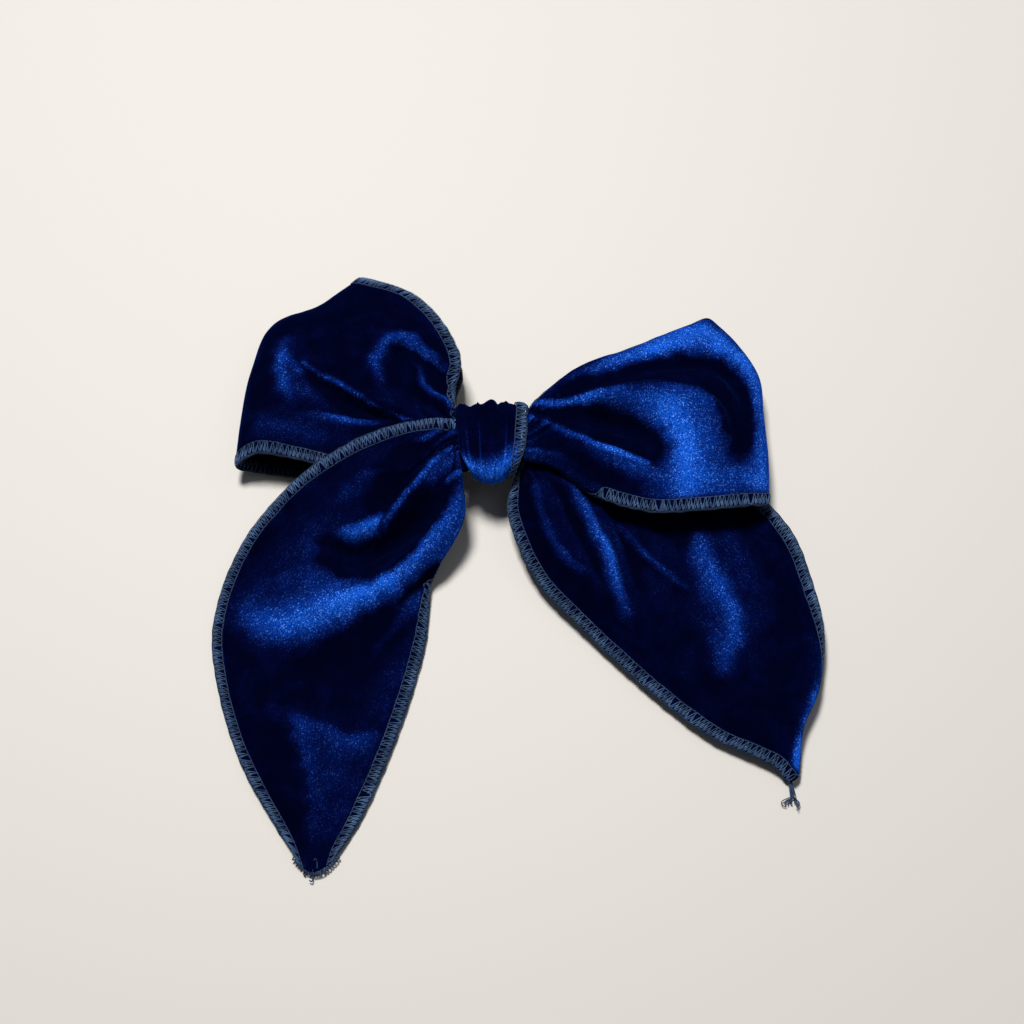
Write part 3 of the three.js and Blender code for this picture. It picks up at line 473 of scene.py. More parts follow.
def curl_under(grid, shine, side, amount):
    """Rolls one long edge under, by an amount from 0 to 1 for each row of the grid."""
    order = slice(None) if side == 0 else slice(None, None, -1)
    distance = from_edge(grid, side)[:, order]
    line = grid[:, order]
    normal = normals_of(grid)[:, order]
    bend = ROLL_TURN * np.maximum(amount, 0.01) / ROLL_BAND
    angle = bend * ROLL_BAND
    extent = np.where(angle > math.pi / 2, 1, np.sin(np.minimum(angle, math.pi / 2))) / bend
    base = np.array([interp_columns(*row) for row in zip(extent, distance, line)])
    up = np.array([interp_columns(*row) for row in zip(extent, distance, normal)])
    up = unit(steady(up))
    outward = steady(line[:, 0] - base)
    outward = unit(outward - up * (outward * up).sum(-1, keepdims=True))
    curled, turned_shine = line.copy(), shine[:, order].copy()
    for i in np.nonzero(amount > 0.01)[0]:
        length = distance[i, -1] + ROLL_BAND - extent[i]
        q = distance[i] * length / distance[i, -1]
        rolled = q < ROLL_BAND
        old = np.where(rolled, q * extent[i] / ROLL_BAND, q - ROLL_BAND + extent[i])
        curled[i] = interp_columns(old, distance[i], line[i])
        turned_shine[i] = np.interp(old, distance[i], shine[i, order])
        s = (ROLL_BAND - q[rolled])[:, None]
        reach, drop = np.sin(bend[i] * s) / bend[i], (1 - np.cos(bend[i] * s)) / bend[i]
        curled[i, rolled] = base[i] + outward[i] * reach - up[i] * drop
    return curled[:, order], turned_shine[:, order]


# ---------- meshes ----------


def add_object(name, data):
    obj = bpy.data.objects.new(name, data)
    bpy.context.scene.collection.objects.link(obj)
    return obj


def mesh_object(name, vertices, faces):
    mesh = bpy.data.meshes.new(name)
    mesh.from_pydata((np.asarray(vertices) * MM + FOOT * MM).tolist(), [], faces)
    mesh.polygons.foreach_set("use_smooth", [True] * len(mesh.polygons))
    mesh.update()
    return add_object(name, mesh)


def stand_in(obj, node_name, material):
    """The piece stands for a CAD node of the bow's body, in one of the record's finishes."""
    obj.data.materials.append(material)
    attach(obj, "bow")
    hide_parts(node_name)


def add_values(obj, name, values):
    layer = obj.data.attributes.new(name, "FLOAT", "POINT")
    layer.data.foreach_set("value", np.asarray(values, np.float32).ravel())


def add_uv(obj, per_vertex):
    layer = obj.data.uv_layers.new(name="cut")
    corner = np.zeros(len(obj.data.loops), np.int32)
    obj.data.loops.foreach_get("vertex_index", corner)
    layer.data.foreach_set("uv", np.asarray(per_vertex, np.float32)[corner].ravel())


def add_cut(obj, along, across):
    """Where each point of a doubled cloth lay in the flat strip, in metres."""
    cut = np.stack(np.broadcast_arrays(along * MM, across * MM), -1).reshape(-1, 2)
    add_uv(obj, np.concatenate([cut, cut]))


def quads(ids):
    """Faces between the neighbours in a table of vertex numbers. A transpose turns them over."""
    corners = ids[:-1, :-1], ids[1:, :-1], ids[1:, 1:], ids[:-1, 1:]
    return np.stack(corners, -1).reshape(-1, 4).tolist()


def closed(ids, axis):
    """The table with its first row or column again at its end."""
    return np.concatenate([ids, ids.take([0], axis)], axis)


def cloth(name, middle, half, shine):
    """A doubled cloth about its middle surface, closed round its edges."""
    rows, columns = middle.shape[:2]
    normal = normals_of(middle)
    top = middle + normal * half[..., None]
    bottom = middle - normal * half[..., None]
    vertices = np.concatenate([top.reshape(-1, 3), bottom.reshape(-1, 3)])
    count = rows * columns
    ids = np.arange(count).reshape(rows, columns)
    rim = closed(np.concatenate([ids[:, 0], ids[-1, 1:], ids[-2::-1, -1], ids[0, -2:0:-1]]), 0)[::-1]
    faces = quads(ids) + quads(ids[:, ::-1] + count) + quads(np.stack([rim, rim + count], 1))
    obj = mesh_object(name, vertices, faces)
    # The underside carries 0.4 of the top's shine: painted shade under the cloth.
    add_values(obj, "shine", np.concatenate([shine.ravel(), 0.4 * shine.ravel()]))
    return obj


def tubes(name, paths, radius, sides=5):
    """One mesh of many round threads, each with its tone in a fourth column of its path."""
    vertices, faces, tones = [], [], []
    turn = np.linspace(0, 2 * math.pi, sides, endpoint=False)
    start = 0
    for path in paths:
        tones.append(np.repeat(path[:, 3], sides))
        path = path[:, :3]
        heading = unit(np.gradient(path, axis=0))
        helper = np.where(np.abs(heading[:, 2:3]) < 0.9, [[0, 0, 1.0]], [[1.0, 0, 0]])
        side = unit(np.cross(heading, helper))
        up = np.cross(side, heading)
        lean, rise = np.cos(turn)[None, :, None], np.sin(turn)[None, :, None]
        ring = side[:, None] * lean + up[:, None] * rise
        vertices.append((path[:, None] + radius * ring).reshape(-1, 3))
        ids = start + np.arange(len(path) * sides).reshape(-1, sides)
        faces += quads(closed(ids, 1)) + [ids[0].tolist(), ids[-1, ::-1].tolist()]
        start += ids.size
    obj = mesh_object(name, np.concatenate(vertices), faces)
    add_values(obj, "tone", np.concatenate(tones))
    return obj


# ---------- materials ----------


def new_material(name, color, roughness, **values):
    material = bpy.data.materials.new(name)
    material.use_nodes = True
    shader = material.node_tree.nodes["Principled BSDF"]
    shader.inputs["Base Color"].default_value = (*color, 1)
    shader.inputs["Roughness"].default_value = roughness
    for key, value in values.items():
        shader.inputs[key.replace("_", " ")].default_value = value
    return material, material.node_tree, shader


def feed(tree, socket, value):
    if isinstance(value, bpy.types.NodeSocket):
        tree.links.new(value, socket)
    else:
        socket.default_value = value


def node(tree, kind, settings=(), **inputs):
    made = tree.nodes.new(kind)
    for key, value in dict(settings).items():
        setattr(made, key, value)
    for key, value in inputs.items():
        feed(tree, made.inputs[key.replace("_", " ")], value)
    return made


def math_node(tree, operation, *values, clamp=False):
    made = node(tree, "ShaderNodeMath", {"operation": operation, "use_clamp": clamp})
    for socket, value in zip(made.inputs, values):
        feed(tree, socket, value)
    return made.outputs[0]


def ramp(tree, fac, stops):
    made = node(tree, "ShaderNodeValToRGB", Fac=fac)
    while len(made.color_ramp.elements) < len(stops):
        made.color_ramp.elements.new(0.5)
    for element, (place, color) in zip(made.color_ramp.elements, stops):
        element.position = place
        element.color = (*color, 1)
    return made.outputs["Color"]


def mix(tree, fac, first, second):
    made = node(tree, "ShaderNodeMix", {"data_type": "RGBA"}, Factor=fac, A=first, B=second)
    return made.outputs["Result"]


def place_in_object(tree):
    return node(tree, "ShaderNodeTexCoord").outputs["Object"]


def noise(tree, place, scale, detail, roughness=0.5):
    made = node(tree, "ShaderNodeTexNoise", Vector=place, Scale=scale, Detail=detail, Roughness=roughness)
    return made.outputs["Fac"]


def point_value(tree, name):
    return node(tree, "ShaderNodeAttribute", {"attribute_name": name}).outputs["Fac"]


def bumps(tree, shader, height, strength, distance):
    bump = node(tree, "ShaderNodeBump", Height=height, Strength=strength, Distance=distance)
    tree.links.new(bump.outputs["Normal"], shader.inputs["Normal"])


def velvet():
    """Navy velvet in painted light: nearly black where its painted shine is low and bright blue where it
    is high, with painted glints in the bright parts.
    """
    material, tree, shader = new_material(
        "navy_velvet", (0.004, 0.01, 0.08), 0.9, Specular_IOR_Level=0.0,
        Sheen_Weight=0.35, Sheen_Roughness=0.3, Sheen_Tint=(0.02, 0.14, 1.0, 1))
    place = place_in_object(tree)
    cut = node(tree, "ShaderNodeUVMap", {"uv_map": "cut"}).outputs["UV"]
    shine = point_value(tree, "shine")
    patches = noise(tree, place, 170.0, 4.0, 0.65)
    pile = noise(tree, place, 2600.0, 2.0, 0.8)
    glint_cells = node(tree, "ShaderNodeTexVoronoi", {"feature": "F1"}, Vector=place, Scale=4200.0)
    glint_noise = node(tree, "ShaderNodeSeparateColor", Color=glint_cells.outputs["Color"]).outputs["Red"]
    knit = node(tree, "ShaderNodeTexWave", {"bands_direction": "Y"}, Vector=cut, Scale=380.0,
                Distortion=1.4, Detail=1.0, Detail_Scale=0.6).outputs["Fac"]
    mottled = math_node(tree, "MULTIPLY_ADD", patches, 2.2, -0.1, clamp=True)
    uneven = math_node(tree, "MULTIPLY_ADD", patches, 0.3, -0.15)
    ribbed = math_node(tree, "MULTIPLY_ADD", knit, 0.04, -0.02)
    soft = math_node(tree, "ADD", shine, math_node(tree, "ADD", uneven, ribbed), clamp=True)
    grain = math_node(tree, "MULTIPLY_ADD", pile, 2.4, -0.2)
    lit = math_node(tree, "MULTIPLY", soft, grain, clamp=True)
    # Base colour as painted light: the ramp runs from near-black painted shade to bright blue painted
    # highlight.
    base = ramp(tree, lit, [
        (0.0, (0.0004, 0.0008, 0.009)), (0.16, (0.0006, 0.002, 0.028)), (0.36, (0.001, 0.0082, 0.092)),
        (0.64, (0.0022, 0.029, 0.24)), (1.0, (0.008, 0.1, 0.63)),
    ])
    # Painted glints: random cells turn bright blue where the painted shine is high.
    spark = math_node(tree, "MULTIPLY_ADD", glint_noise, 9.0, -8.0, clamp=True)
    bright = math_node(tree, "MULTIPLY", math_node(tree, "POWER", soft, 2.0), mottled)
    spark = math_node(tree, "MULTIPLY", spark, math_node(tree, "MULTIPLY", bright, 2.2), clamp=True)
    color = mix(tree, spark, base, (0.09, 0.28, 1.0, 1))
    tree.links.new(color, shader.inputs["Base Color"])
    bumps(tree, shader, math_node(tree, "MULTIPLY_ADD", knit, 0.12, pile), 0.5, 0.0002)
    return material


def overlock():
    """Fuzzy grey-blue yarn, darker where its tone says that it lies in shade."""
    material, tree, shader = new_material(
        "steel_blue_thread", (0.03, 0.07, 0.14), 0.8, Specular_IOR_Level=0.2,
        Sheen_Weight=0.2, Sheen_Roughness=0.4, Sheen_Tint=(0.3, 0.5, 0.85, 1))
    place = place_in_object(tree)
    fuzz = noise(tree, place, 2600.0, 3.0, 0.7)
    slow = math_node(tree, "MULTIPLY", noise(tree, place, 260.0, 3.0), 0.4)
    mixed = math_node(tree, "MULTIPLY_ADD", fuzz, 0.6, slow)
    color = ramp(tree, mixed, [
        (0.3, (0.016, 0.034, 0.085)), (0.5, (0.052, 0.108, 0.24)), (0.72, (0.15, 0.27, 0.5)),
    ])
    shaded = mix(tree, point_value(tree, "tone"), (0.004, 0.009, 0.024, 1), color)
    tree.links.new(shaded, shader.inputs["Base Color"])
    bumps(tree, shader, fuzz, 0.6, 0.0001)
    return material


def steel():
    """Nickel-plated sheet, brushed along the clip."""
    material, tree, shader = new_material("nickel_plated_steel", (0.62, 0.62, 0.63), 0.28, Metallic=1.0)
    place = place_in_object(tree)
    stretched = node(tree, "ShaderNodeMapping", Vector=place, Scale=(60.0, 1600.0, 1600.0))
    brush = noise(tree, stretched.outputs["Vector"], 1.0, 3.0)
    rough = ramp(tree, brush, [(0.3, (0.2,) * 3), (0.7, (0.42,) * 3)])
    tree.links.new(rough, shader.inputs["Roughness"])
    bumps(tree, shader, brush, 0.2, 0.00004)
    return material


def grosgrain():
    """Ribbon with ribs across it."""
    material, tree, shader = new_material("grosgrain_ribbon", (0.006, 0.008, 0.03), 0.7)
    ribs = node(tree, "ShaderNodeTexWave", {"bands_direction": "X"}, Vector=place_in_object(tree),
                Scale=330.0, Distortion=0.1).outputs["Fac"]
    color = ramp(tree, ribs, [(0.1, (0.002, 0.003, 0.012)), (0.9, (0.012, 0.016, 0.05))])
    tree.links.new(color, shader.inputs["Base Color"])
    bumps(tree, shader, ribs, 0.8, 0.0003)
    return material


def hot_glue():
    """Cloudy cream glue."""
    material, tree, shader = new_material("hot_melt_glue", (0.7, 0.64, 0.5), 0.35)
    cloud = noise(tree, place_in_object(tree), 400.0, 3.0)
    color = ramp(tree, cloud, [(0.3, (0.55, 0.5, 0.38)), (0.7, (0.8, 0.75, 0.62))])
    tree.links.new(color, shader.inputs["Base Color"])
    bumps(tree, shader, cloud, 0.5, 0.0003)
    return material


VELVET = velvet()
SERGING = overlock()
STEEL = steel()
RIBBON = grosgrain()
GLUE = hot_glue()

# ---------- overlock seams ----------


# The upper looper's way through one stitch: its share of the stitch, its share of the
# seam's width in from the edge, and its height over the middle of the cloth in mm.
LOOPER_BEAT = np.array([0.0, 0.09, 0.2, 0.34, 0.46, 0.56, 0.68, 0.82, 0.92])[None]
LOOPER_REACH = np.array([0.0, 0.14, 0.4, 0.8, 1.0, 1.0, 0.8, 0.4, 0.14])[None]
LOOPER_HEIGHT = np.array([0.5, 0.78, 0.92, 0.95, 0.86, 0.84, 0.97, 0.94, 0.8])[None]
BEAD_PLIES = (0.0, 2.09, 4.19)           # angles of the three threads twisted into the bead


class Seam:
    """The strip of cloth beside an edge, on which the overlock is stitched."""

    def __init__(self, grid, side, width):
        if side < 0:
            grid = grid[:, ::-1]
        normal = normals_of(grid) * (-1 if side < 0 else 1)
        run = from_edge(grid, 0)
        self.width = width
        self.levels = 9
        reach = np.linspace(0, width, self.levels)
        self.place = np.array([interp_columns(reach, *row) for row in zip(run, grid)])
        self.facing = np.array([interp_columns(reach, *row) for row in zip(run, normal)])
        self.length = lengths(grid[:, 0])

    def at(self, s, a, b):
        """Points at share s of the edge, a in from it and b above the cloth's middle."""
        i = np.interp(np.clip(s, 0, 1) * self.length[-1], self.length, np.arange(len(self.length)))
        j = np.clip(np.asarray(a) / self.width, 0, 1) * (self.levels - 1)
        i0 = np.minimum(i.astype(int), len(self.length) - 2)
        j0 = np.minimum(j.astype(int), self.levels - 2)
        u, v = (i - i0)[:, None], (j - j0)[:, None]

        def mixed(field):
            near = field[i0, j0] * (1 - v) + field[i0, j0 + 1] * v
            far = field[i0 + 1, j0] * (1 - v) + field[i0 + 1, j0 + 1] * v
            return near * (1 - u) + far * u

        inward = unit(self.place[i0, 1] - self.place[i0, 0])
        beyond = np.minimum(a, 0)[:, None]
        return mixed(self.place) + inward * beyond + unit(mixed(self.facing)) * np.asarray(b)[:, None]


def toned(path, tone):
    """The path with a fourth column that says how light its thread is drawn: painted shade where it is
    low.
    """
    return np.concatenate([path, np.broadcast_to(tone, len(path))[:, None]], axis=1)


def even_tone(s):
    return np.ones_like(s)


def back_in_shade(s):
    """A loop's edge runs out along its front and home along its back."""
    return 1 - 0.7 * smooth(s, 0.5, 0.56)


def overlock_paths(seam, both=True, shade=even_tone):
    """A three-thread overlock: zigzag loopers, a bead on the edge and a needle line."""
    width = seam.width
    stitches = max(int(round(seam.length[-1] / STITCH)), 3)
    number = np.arange(stitches)[:, None]
    wobble = RNG.normal(0, 0.1, (stitches, 3))
    s = ((number + LOOPER_BEAT + 1.6 * wobble[:, :1]) / stitches).ravel()
    a = (LOOPER_REACH * (width + wobble[:, 1:2]) - 0.2).ravel()
    b = (LOOPER_HEIGHT + 0.3 * wobble[:, 2:3] * LOOPER_REACH).ravel()
    # Painted shade: a looper is lighter where it stands higher, and darker towards the needle line.
    tone = (1 + 2.2 * wobble[:, 2]).repeat(LOOPER_BEAT.size) * (1 - 0.6 * smooth(a / width, 0.45, 0.8))
    # Each thread is drawn at its own painted shade: 0.85 for the upper looper, 0.7 for the shorter one,
    # full tone for the back looper, 0.3 for the bead and 0.36 for the needle line.
    paths = [toned(seam.at(s, a, b), 0.85 * tone * shade(s))]
    paths.append(toned(seam.at(s + 0.28 / stitches, 0.55 * a, b - 0.1), 0.7 * tone * shade(s)))
    if both:
        paths.append(toned(seam.at(s + 0.5 / stitches, a, -b), tone * shade(s)))
    twist = np.linspace(0, 1, stitches * 6 + 1)
    turn = 2 * math.pi * stitches * twist
    lump = 0.06 * np.sin(turn * 0.31) + 0.05 * np.sin(turn * 0.173 + 1)
    for start in BEAD_PLIES:
        lean, rise = 0.28 * np.cos(turn + start), (0.4 + lump) * np.sin(turn + start)
        paths.append(toned(seam.at(twist, lean - 0.26 + lump, rise + 0.05), 0.3 * shade(twist)))
    dip = 0.88 - 0.3 * np.abs(np.sin(turn / 2)) ** 8
    paths.append(toned(seam.at(twist, np.full_like(twist, width - 0.1), dip), 0.36 * shade(twist)))
    return paths


def stitch(name, node_name, paths, radius=YARN):
    obj = tubes(name, paths, radius)
    stand_in(obj, node_name, SERGING)
    return obj


# ---------- lobes ----------

# One strip makes all four: flat is the size that each lobe's stretch of it was cut to, in
# metres, and area leaves out what the cut to a point, or the narrowing at the knot, takes off.
TAIL_CUT = {"flat": (0.064, 0.125), "area": 0.0058, "rests": "clip_jaw"}
LOOP_CUT = {"flat": (0.064, 0.135), "area": 0.0072, "rests": "clip_plate"}

# A lobe's painted light is its ground level everywhere, more where its slope faces the lit heading, and
# less where it faces away.
LOBES = {
    "left_tail": {
        "net": LEFT_TAIL, "folds": LEFT_TAIL_FOLDS, "edges": ("outer", "inner"),
        "lit_slope_heading": (0.16, -0.14), "ground": 0.05, **TAIL_CUT,
    },
    "right_tail": {
        "net": RIGHT_TAIL, "folds": RIGHT_TAIL_FOLDS, "edges": ("inner", "outer"),
        "lit_slope_heading": (0.2, -0.05), "ground": 0.04, **TAIL_CUT,
    },
    "left_loop": {
        "net": [row[::-1] for row in loop_net(LEFT_LOOP, LEFT_LOOP_BACK, LEFT_LOOP_SHIFT)],
        "folds": LEFT_LOOP_FOLDS, "edges": ("top", "hem"),
        "lit_slope_heading": (0.1, 0.06), "ground": 0.05, **LOOP_CUT,
    },
    "right_loop": {
        "net": loop_net(RIGHT_LOOP, RIGHT_LOOP_BACK, RIGHT_LOOP_SHIFT),
        "folds": RIGHT_LOOP_FOLDS, "edges": ("hem", "top"),
        "lit_slope_heading": (0.2, -0.3), "ground": 0.16, **LOOP_CUT,
    },
}
GATHERS = {"depth": 0.4, "reach": 12, "count": 5}    # pleats beside the knot, in mm
BROAD_HUMP, BROAD_SIZE = 0.18, 5.0                   # height and size of the slackest unevenness
FINE_HUMP, FINE_SIZE = 0.07, 2.0
SEAM_SHINE = 0.1                                     # the shine under the overlock, held low as painted shade
FLOOR_CLEARANCE = 0.12                               # least gap under any cloth
MOST_SLOPE_LIGHT, LEAST_SLOPE_LIGHT = 0.6, -0.3                    # what the painted slope light may add to the shine, or take from it
FOLDS_END, FOLDS_FADE = 1.06, 0.22                   # in lengths of a loop's front
ROLL_ENDS = (0.95, 1.12)                             # likewise, where a rolled edge lies flat again
HEM_TUCK_ENDS = (24, 31)                             # mm to the right of the foot of the knot


def front_weight(rows, is_loop):
    """Folds are pressed into the front of a loop, and fade where it turns back, at 1."""
    if not is_loop:
        return np.ones((rows, 1))
    place = np.linspace(0, 2, rows)[:, None]
    return np.clip((FOLDS_END - place) / FOLDS_FADE, 0, 1)


def roll_edges(name, grid, shine):
    """The right loop's hem is tucked under near the knot, and its top edge is rolled back."""
    if name != "right_loop":
        return grid, shine
    place = np.linspace(0, 2, len(grid))
    front = 1 - smooth(place, *ROLL_ENDS)
    hem = front * (1 - smooth(grid[:, 0, 0], *HEM_TUCK_ENDS))
    grid, shine = curl_under(grid, shine, 0, hem)
    return curl_under(grid, shine, -1, front)


def make_lobe(name, lobe):
    is_loop = "loop" in name
    net = np.array(lobe["net"], float)
    rough = loft(net, np.linspace(0, 1, 60), np.linspace(0, 1, 30))
    length = lengths(rough[:, 15])[-1]
    breadth = max(lengths(row)[-1] for row in rough)
    rows = int(length / GRID) + 1
    columns = int(breadth / GRID) + 1
    across = np.linspace(0, 1, columns)
    grid = loft(net, np.linspace(0, 1, rows), across)
    run = lengths(grid[:, columns // 2])
    seed = sorted(LOBES).index(name) * 10
    shine = crease(grid, lobe["folds"], front_weight(rows, is_loop), seed)
    gathers(grid, across, run, seed, **GATHERS)
    if is_loop:
        gathers(grid, across, run[-1] - run, seed + 9, **GATHERS)
    humps = BROAD_HUMP * waviness(grid, BROAD_SIZE, seed)
    grid[..., 2] += humps + FINE_HUMP * waviness(grid, FINE_SIZE, seed + 5)
    grid, shine = roll_edges(name, grid, shine)
    grid[..., 2] = np.maximum(grid[..., 2], CLOTH_HALF + FLOOR_CLEARANCE)
    # Painted shading by slope: the shine rises where the cloth's slope faces the lobe's heading and falls
    # where it faces away, and ground adds a painted light level to the whole lobe.
    slope_light = normals_of(grid)[..., :2] @ np.array(lobe["lit_slope_heading"])
    shine = shine + lobe["ground"] + np.clip(slope_light, LEAST_SLOPE_LIGHT, MOST_SLOPE_LIGHT)
    distance = np.minimum(from_edge(grid, 0), from_edge(grid, -1))
    half = CLOTH_EDGE_HALF + (CLOTH_HALF - CLOTH_EDGE_HALF) * np.clip(distance / SEAM_WIDTH, 0, 1)
    # Under the overlock the shine is held low: painted shade between the threads.
    clear_of_seam = smooth(distance, SEAM_WIDTH - 0.5, SEAM_WIDTH + 0.9)
    shine = SEAM_SHINE + (shine - SEAM_SHINE) * clear_of_seam
    obj = cloth(name + "_velvet", grid, half, np.clip(shine, 0, 1.3))
    add_cut(obj, run[:, None], across[None] * breadth)
    stand_in(obj, name, VELVET)
    for side, edge_name in zip((0, -1), lobe["edges"]):
        shade = back_in_shade if is_loop else even_tone
        paths = overlock_paths(Seam(grid, side, SEAM_WIDTH), shade=shade)
        stitch(f"{name}_{edge_name}_overlock", f"{name}_{edge_name}_edging", paths)


for lobe_name, lobe_facts in LOBES.items():
    make_lobe(lobe_name, lobe_facts)

# ---------- knot ----------

WRAP_POWER = 2.6             # squareness of the wrap's oval
WRAP_PINCH = 4.0             # how much narrower the wrap gets on one side of the knot
WRAP_PINCH_AT = -2.4         # where it is narrowest, as an angle round the knot
WRAP_SEAM_WIDTH = 2.7


def oval(value, half):
    return np.sign(value) * half * np.abs(value) ** (2 / WRAP_POWER)


def wrap_half_width(angle):
    return WRAP_HALF[0] - WRAP_PINCH * (1 + np.cos(angle - WRAP_PINCH_AT)) / 2


def wrap_surface(angle, share, inset=0.0):
    """A point on the wrap: angle goes round it, share from its left rim (-1) to its right (1)."""
    angle, share = np.broadcast_arrays(angle, share)
    front = np.clip(-np.cos(angle), 0, 1)
    barrel = 1 - (0.05 + 0.2 * front) * np.abs(share) ** 2.4
    x = wrap_half_width(angle) * share
    y = WRAP_BEHIND_FOOT + oval(np.cos(angle), WRAP_HALF[1] - inset) * barrel
    z = WRAP_MIDDLE[2] + oval(np.sin(angle), WRAP_HALF[2] - inset) * (1 - 0.06 * share**2)
    return np.stack([x, y, z], -1)


# Each crease runs round the wrap: where it lies across, its width, how far it rises there,
# and how much painted highlight it carries. The creases are deepest at the crown.
WRAP_CREASES = [
    (-0.86, 0.1, 0.3, 0.1), (-0.58, 0.1, -0.45, 0.0), (-0.34, 0.03, 0.4, 0.3), (-0.22, 0.12, -0.3, 0.0),
    (0.06, 0.14, 0.45, 0.04), (0.26, 0.06, -0.5, 0.0), (0.5, 0.04, 0.25, 0.26), (0.62, 0.05, -0.2, 0.0),
    (-0.72, 0.035, 0.2, 0.3),
]


CROWN_AT, CROWN_SPREAD = 0.7, 0.8            # angles round the knot


def make_wrap():
    rows, columns = 190, 90
    angle = np.linspace(0, 2 * math.pi, rows, endpoint=False)[:, None]
    share = np.linspace(-1, 1, columns)[None]
    outer = wrap_surface(angle, share)
    out = unit((outer - [0, WRAP_BEHIND_FOOT, WRAP_MIDDLE[2]]) * [0.15, 1, 1.6])
    crown = np.exp(-((angle - CROWN_AT) / CROWN_SPREAD) ** 2)
    lump, gloss = np.zeros((rows, columns)), np.zeros((rows, columns))
    for at, width, rise, shine in WRAP_CREASES:
        off = (share - at - 0.05 * np.sin(angle * 1.5) * (1 - share**2)) / width
        lump += rise * np.exp(-off**2)
        gloss += shine * np.exp(-off**2)
    lump = lump * (0.55 + 1.1 * crown) + 0.2 * waviness(outer, 3.5, 5)
    rim = np.clip((np.abs(share) - 0.84) / 0.16, 0, 1)
    under_seam = smooth(share, 0.6, 0.74)
    lump = lump * (1 - under_seam) - 0.45 * under_seam - 0.7 * rim**2 * (share < 0)
    outer = outer + out * lump[..., None]
    inner = outer - out * (2 * CLOTH_HALF)
    vertices = np.concatenate([outer.reshape(-1, 3), inner.reshape(-1, 3)])
    count = rows * columns
    ids = closed(np.arange(count).reshape(rows, columns), 0)
    faces = quads(ids.T) + quads(ids + count)
    faces += quads(np.stack([ids[:, 0], ids[:, 0] + count], 1))
    faces += quads(np.stack([ids[:, -1], ids[:, -1] + count], 0))
    obj = mesh_object("centre_wrap_velvet", vertices, faces)
    around = np.degrees(angle)
    arc = 12 * share + 20 * share**2
    # Painted light on the wrap: a painted highlight over its front and lower front, painted highlights on
    # the crease ridges, a thin painted highlight by the left rim, and 0.3 of it on the inner face as
    # painted shade.
    low = smooth(around + arc, 104, 144) * (1 - smooth(around, 230, 264))
    shine = 0.02 + 0.78 * low + gloss * smooth(around, 60, 110) * (1 - smooth(around, 150, 190))
    shine = shine + 0.3 * np.exp(-((share + 0.92) / 0.07) ** 2) * smooth(around, 100, 140)
    add_values(obj, "shine", np.concatenate([shine.ravel(), 0.3 * shine.ravel()]))
    girth = lengths(outer[:, columns // 2])
    add_cut(obj, girth[:, None], share * WRAP_HALF[0])
    stand_in(obj, "centre_wrap", VELVET)

    around = np.linspace(1.5 * math.pi - 0.15, -math.pi / 2 + 0.15, 200)[:, None]
    strip = wrap_surface(around, np.linspace(1.09, 0.4, 24)[None], 0.75)
    seam = stitch("centre_wrap_overlock", "centre_wrap_edging",
                  overlock_paths(Seam(strip, 0, WRAP_SEAM_WIDTH), both=False))


make_wrap()


def make_waist():
    """The gathered middle of the strip inside the wrap: nine pleats pinched by the thread."""
    low, high = (np.array(corner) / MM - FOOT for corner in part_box("gathered_waist"))
    middle, half = (low + high) / 2, (high - low) / 2
    rows, sides = 40, 96
    x = np.linspace(-1, 1, rows)[:, None]
    angle = np.linspace(0, 2 * math.pi, sides, endpoint=False)[None]
    squeeze = 1 - 0.26 * np.cos(x * math.pi / 2) ** 2
    pleat = 1 - 0.07 * (1 - np.cos(9 * angle)) / 2
    points = np.stack(np.broadcast_arrays(
        middle[0] + half[0] * x + 0 * angle,
        middle[1] + half[1] * squeeze * pleat * np.cos(angle),
        middle[2] + half[2] * squeeze * pleat * np.sin(angle)), -1)
    ids = np.arange(rows * sides).reshape(rows, sides)
    faces = quads(closed(ids, 1).T) + [ids[0, ::-1].tolist(), ids[-1].tolist()]
    obj = mesh_object("gathered_waist_velvet", points.reshape(-1, 3), faces)
    # A low even shine: painted shade, nearly black, inside the wrap.
    add_values(obj, "shine", np.full(rows * sides, 0.05))
    add_uv(obj, points.reshape(-1, 3)[:, :2] * MM)
    stand_in(obj, "gathered_waist", VELVET)


make_waist()

# ---------- frayed tips ----------


def strands(root, half_width, heading, length, spread, count, curl):
    """Loose thread ends, up to length long, that leave a tip of the bow along heading."""
    paths = []
    for _ in range(count):
        swing = math.radians(RNG.normal(0, spread))
        turned = np.array([
            heading[0] * math.cos(swing) - heading[1] * math.sin(swing),
            heading[0] * math.sin(swing) + heading[1] * math.cos(swing), 0])
        side = np.array([-turned[1], turned[0], 0])
        start = np.array(root) + side * RNG.uniform(-1, 1) * half_width
        start[2] = RNG.uniform(0.4, 1.5)
        reach = length * RNG.uniform(0.35, 1.0)
        bend = RNG.normal(0, curl)
        t = np.linspace(0, 1, 11)[:, None]
        path = start + turned * reach * t + side * bend * reach * np.sin(2.4 * t)
        path[:, 2] = np.maximum(start[2] + RNG.normal(0, 0.3) * np.sin(2.2 * t[:, 0]), 0.3)
        # Drawn at tone 0.35: painted shade.
        paths.append(toned(path, 0.35))
    return paths


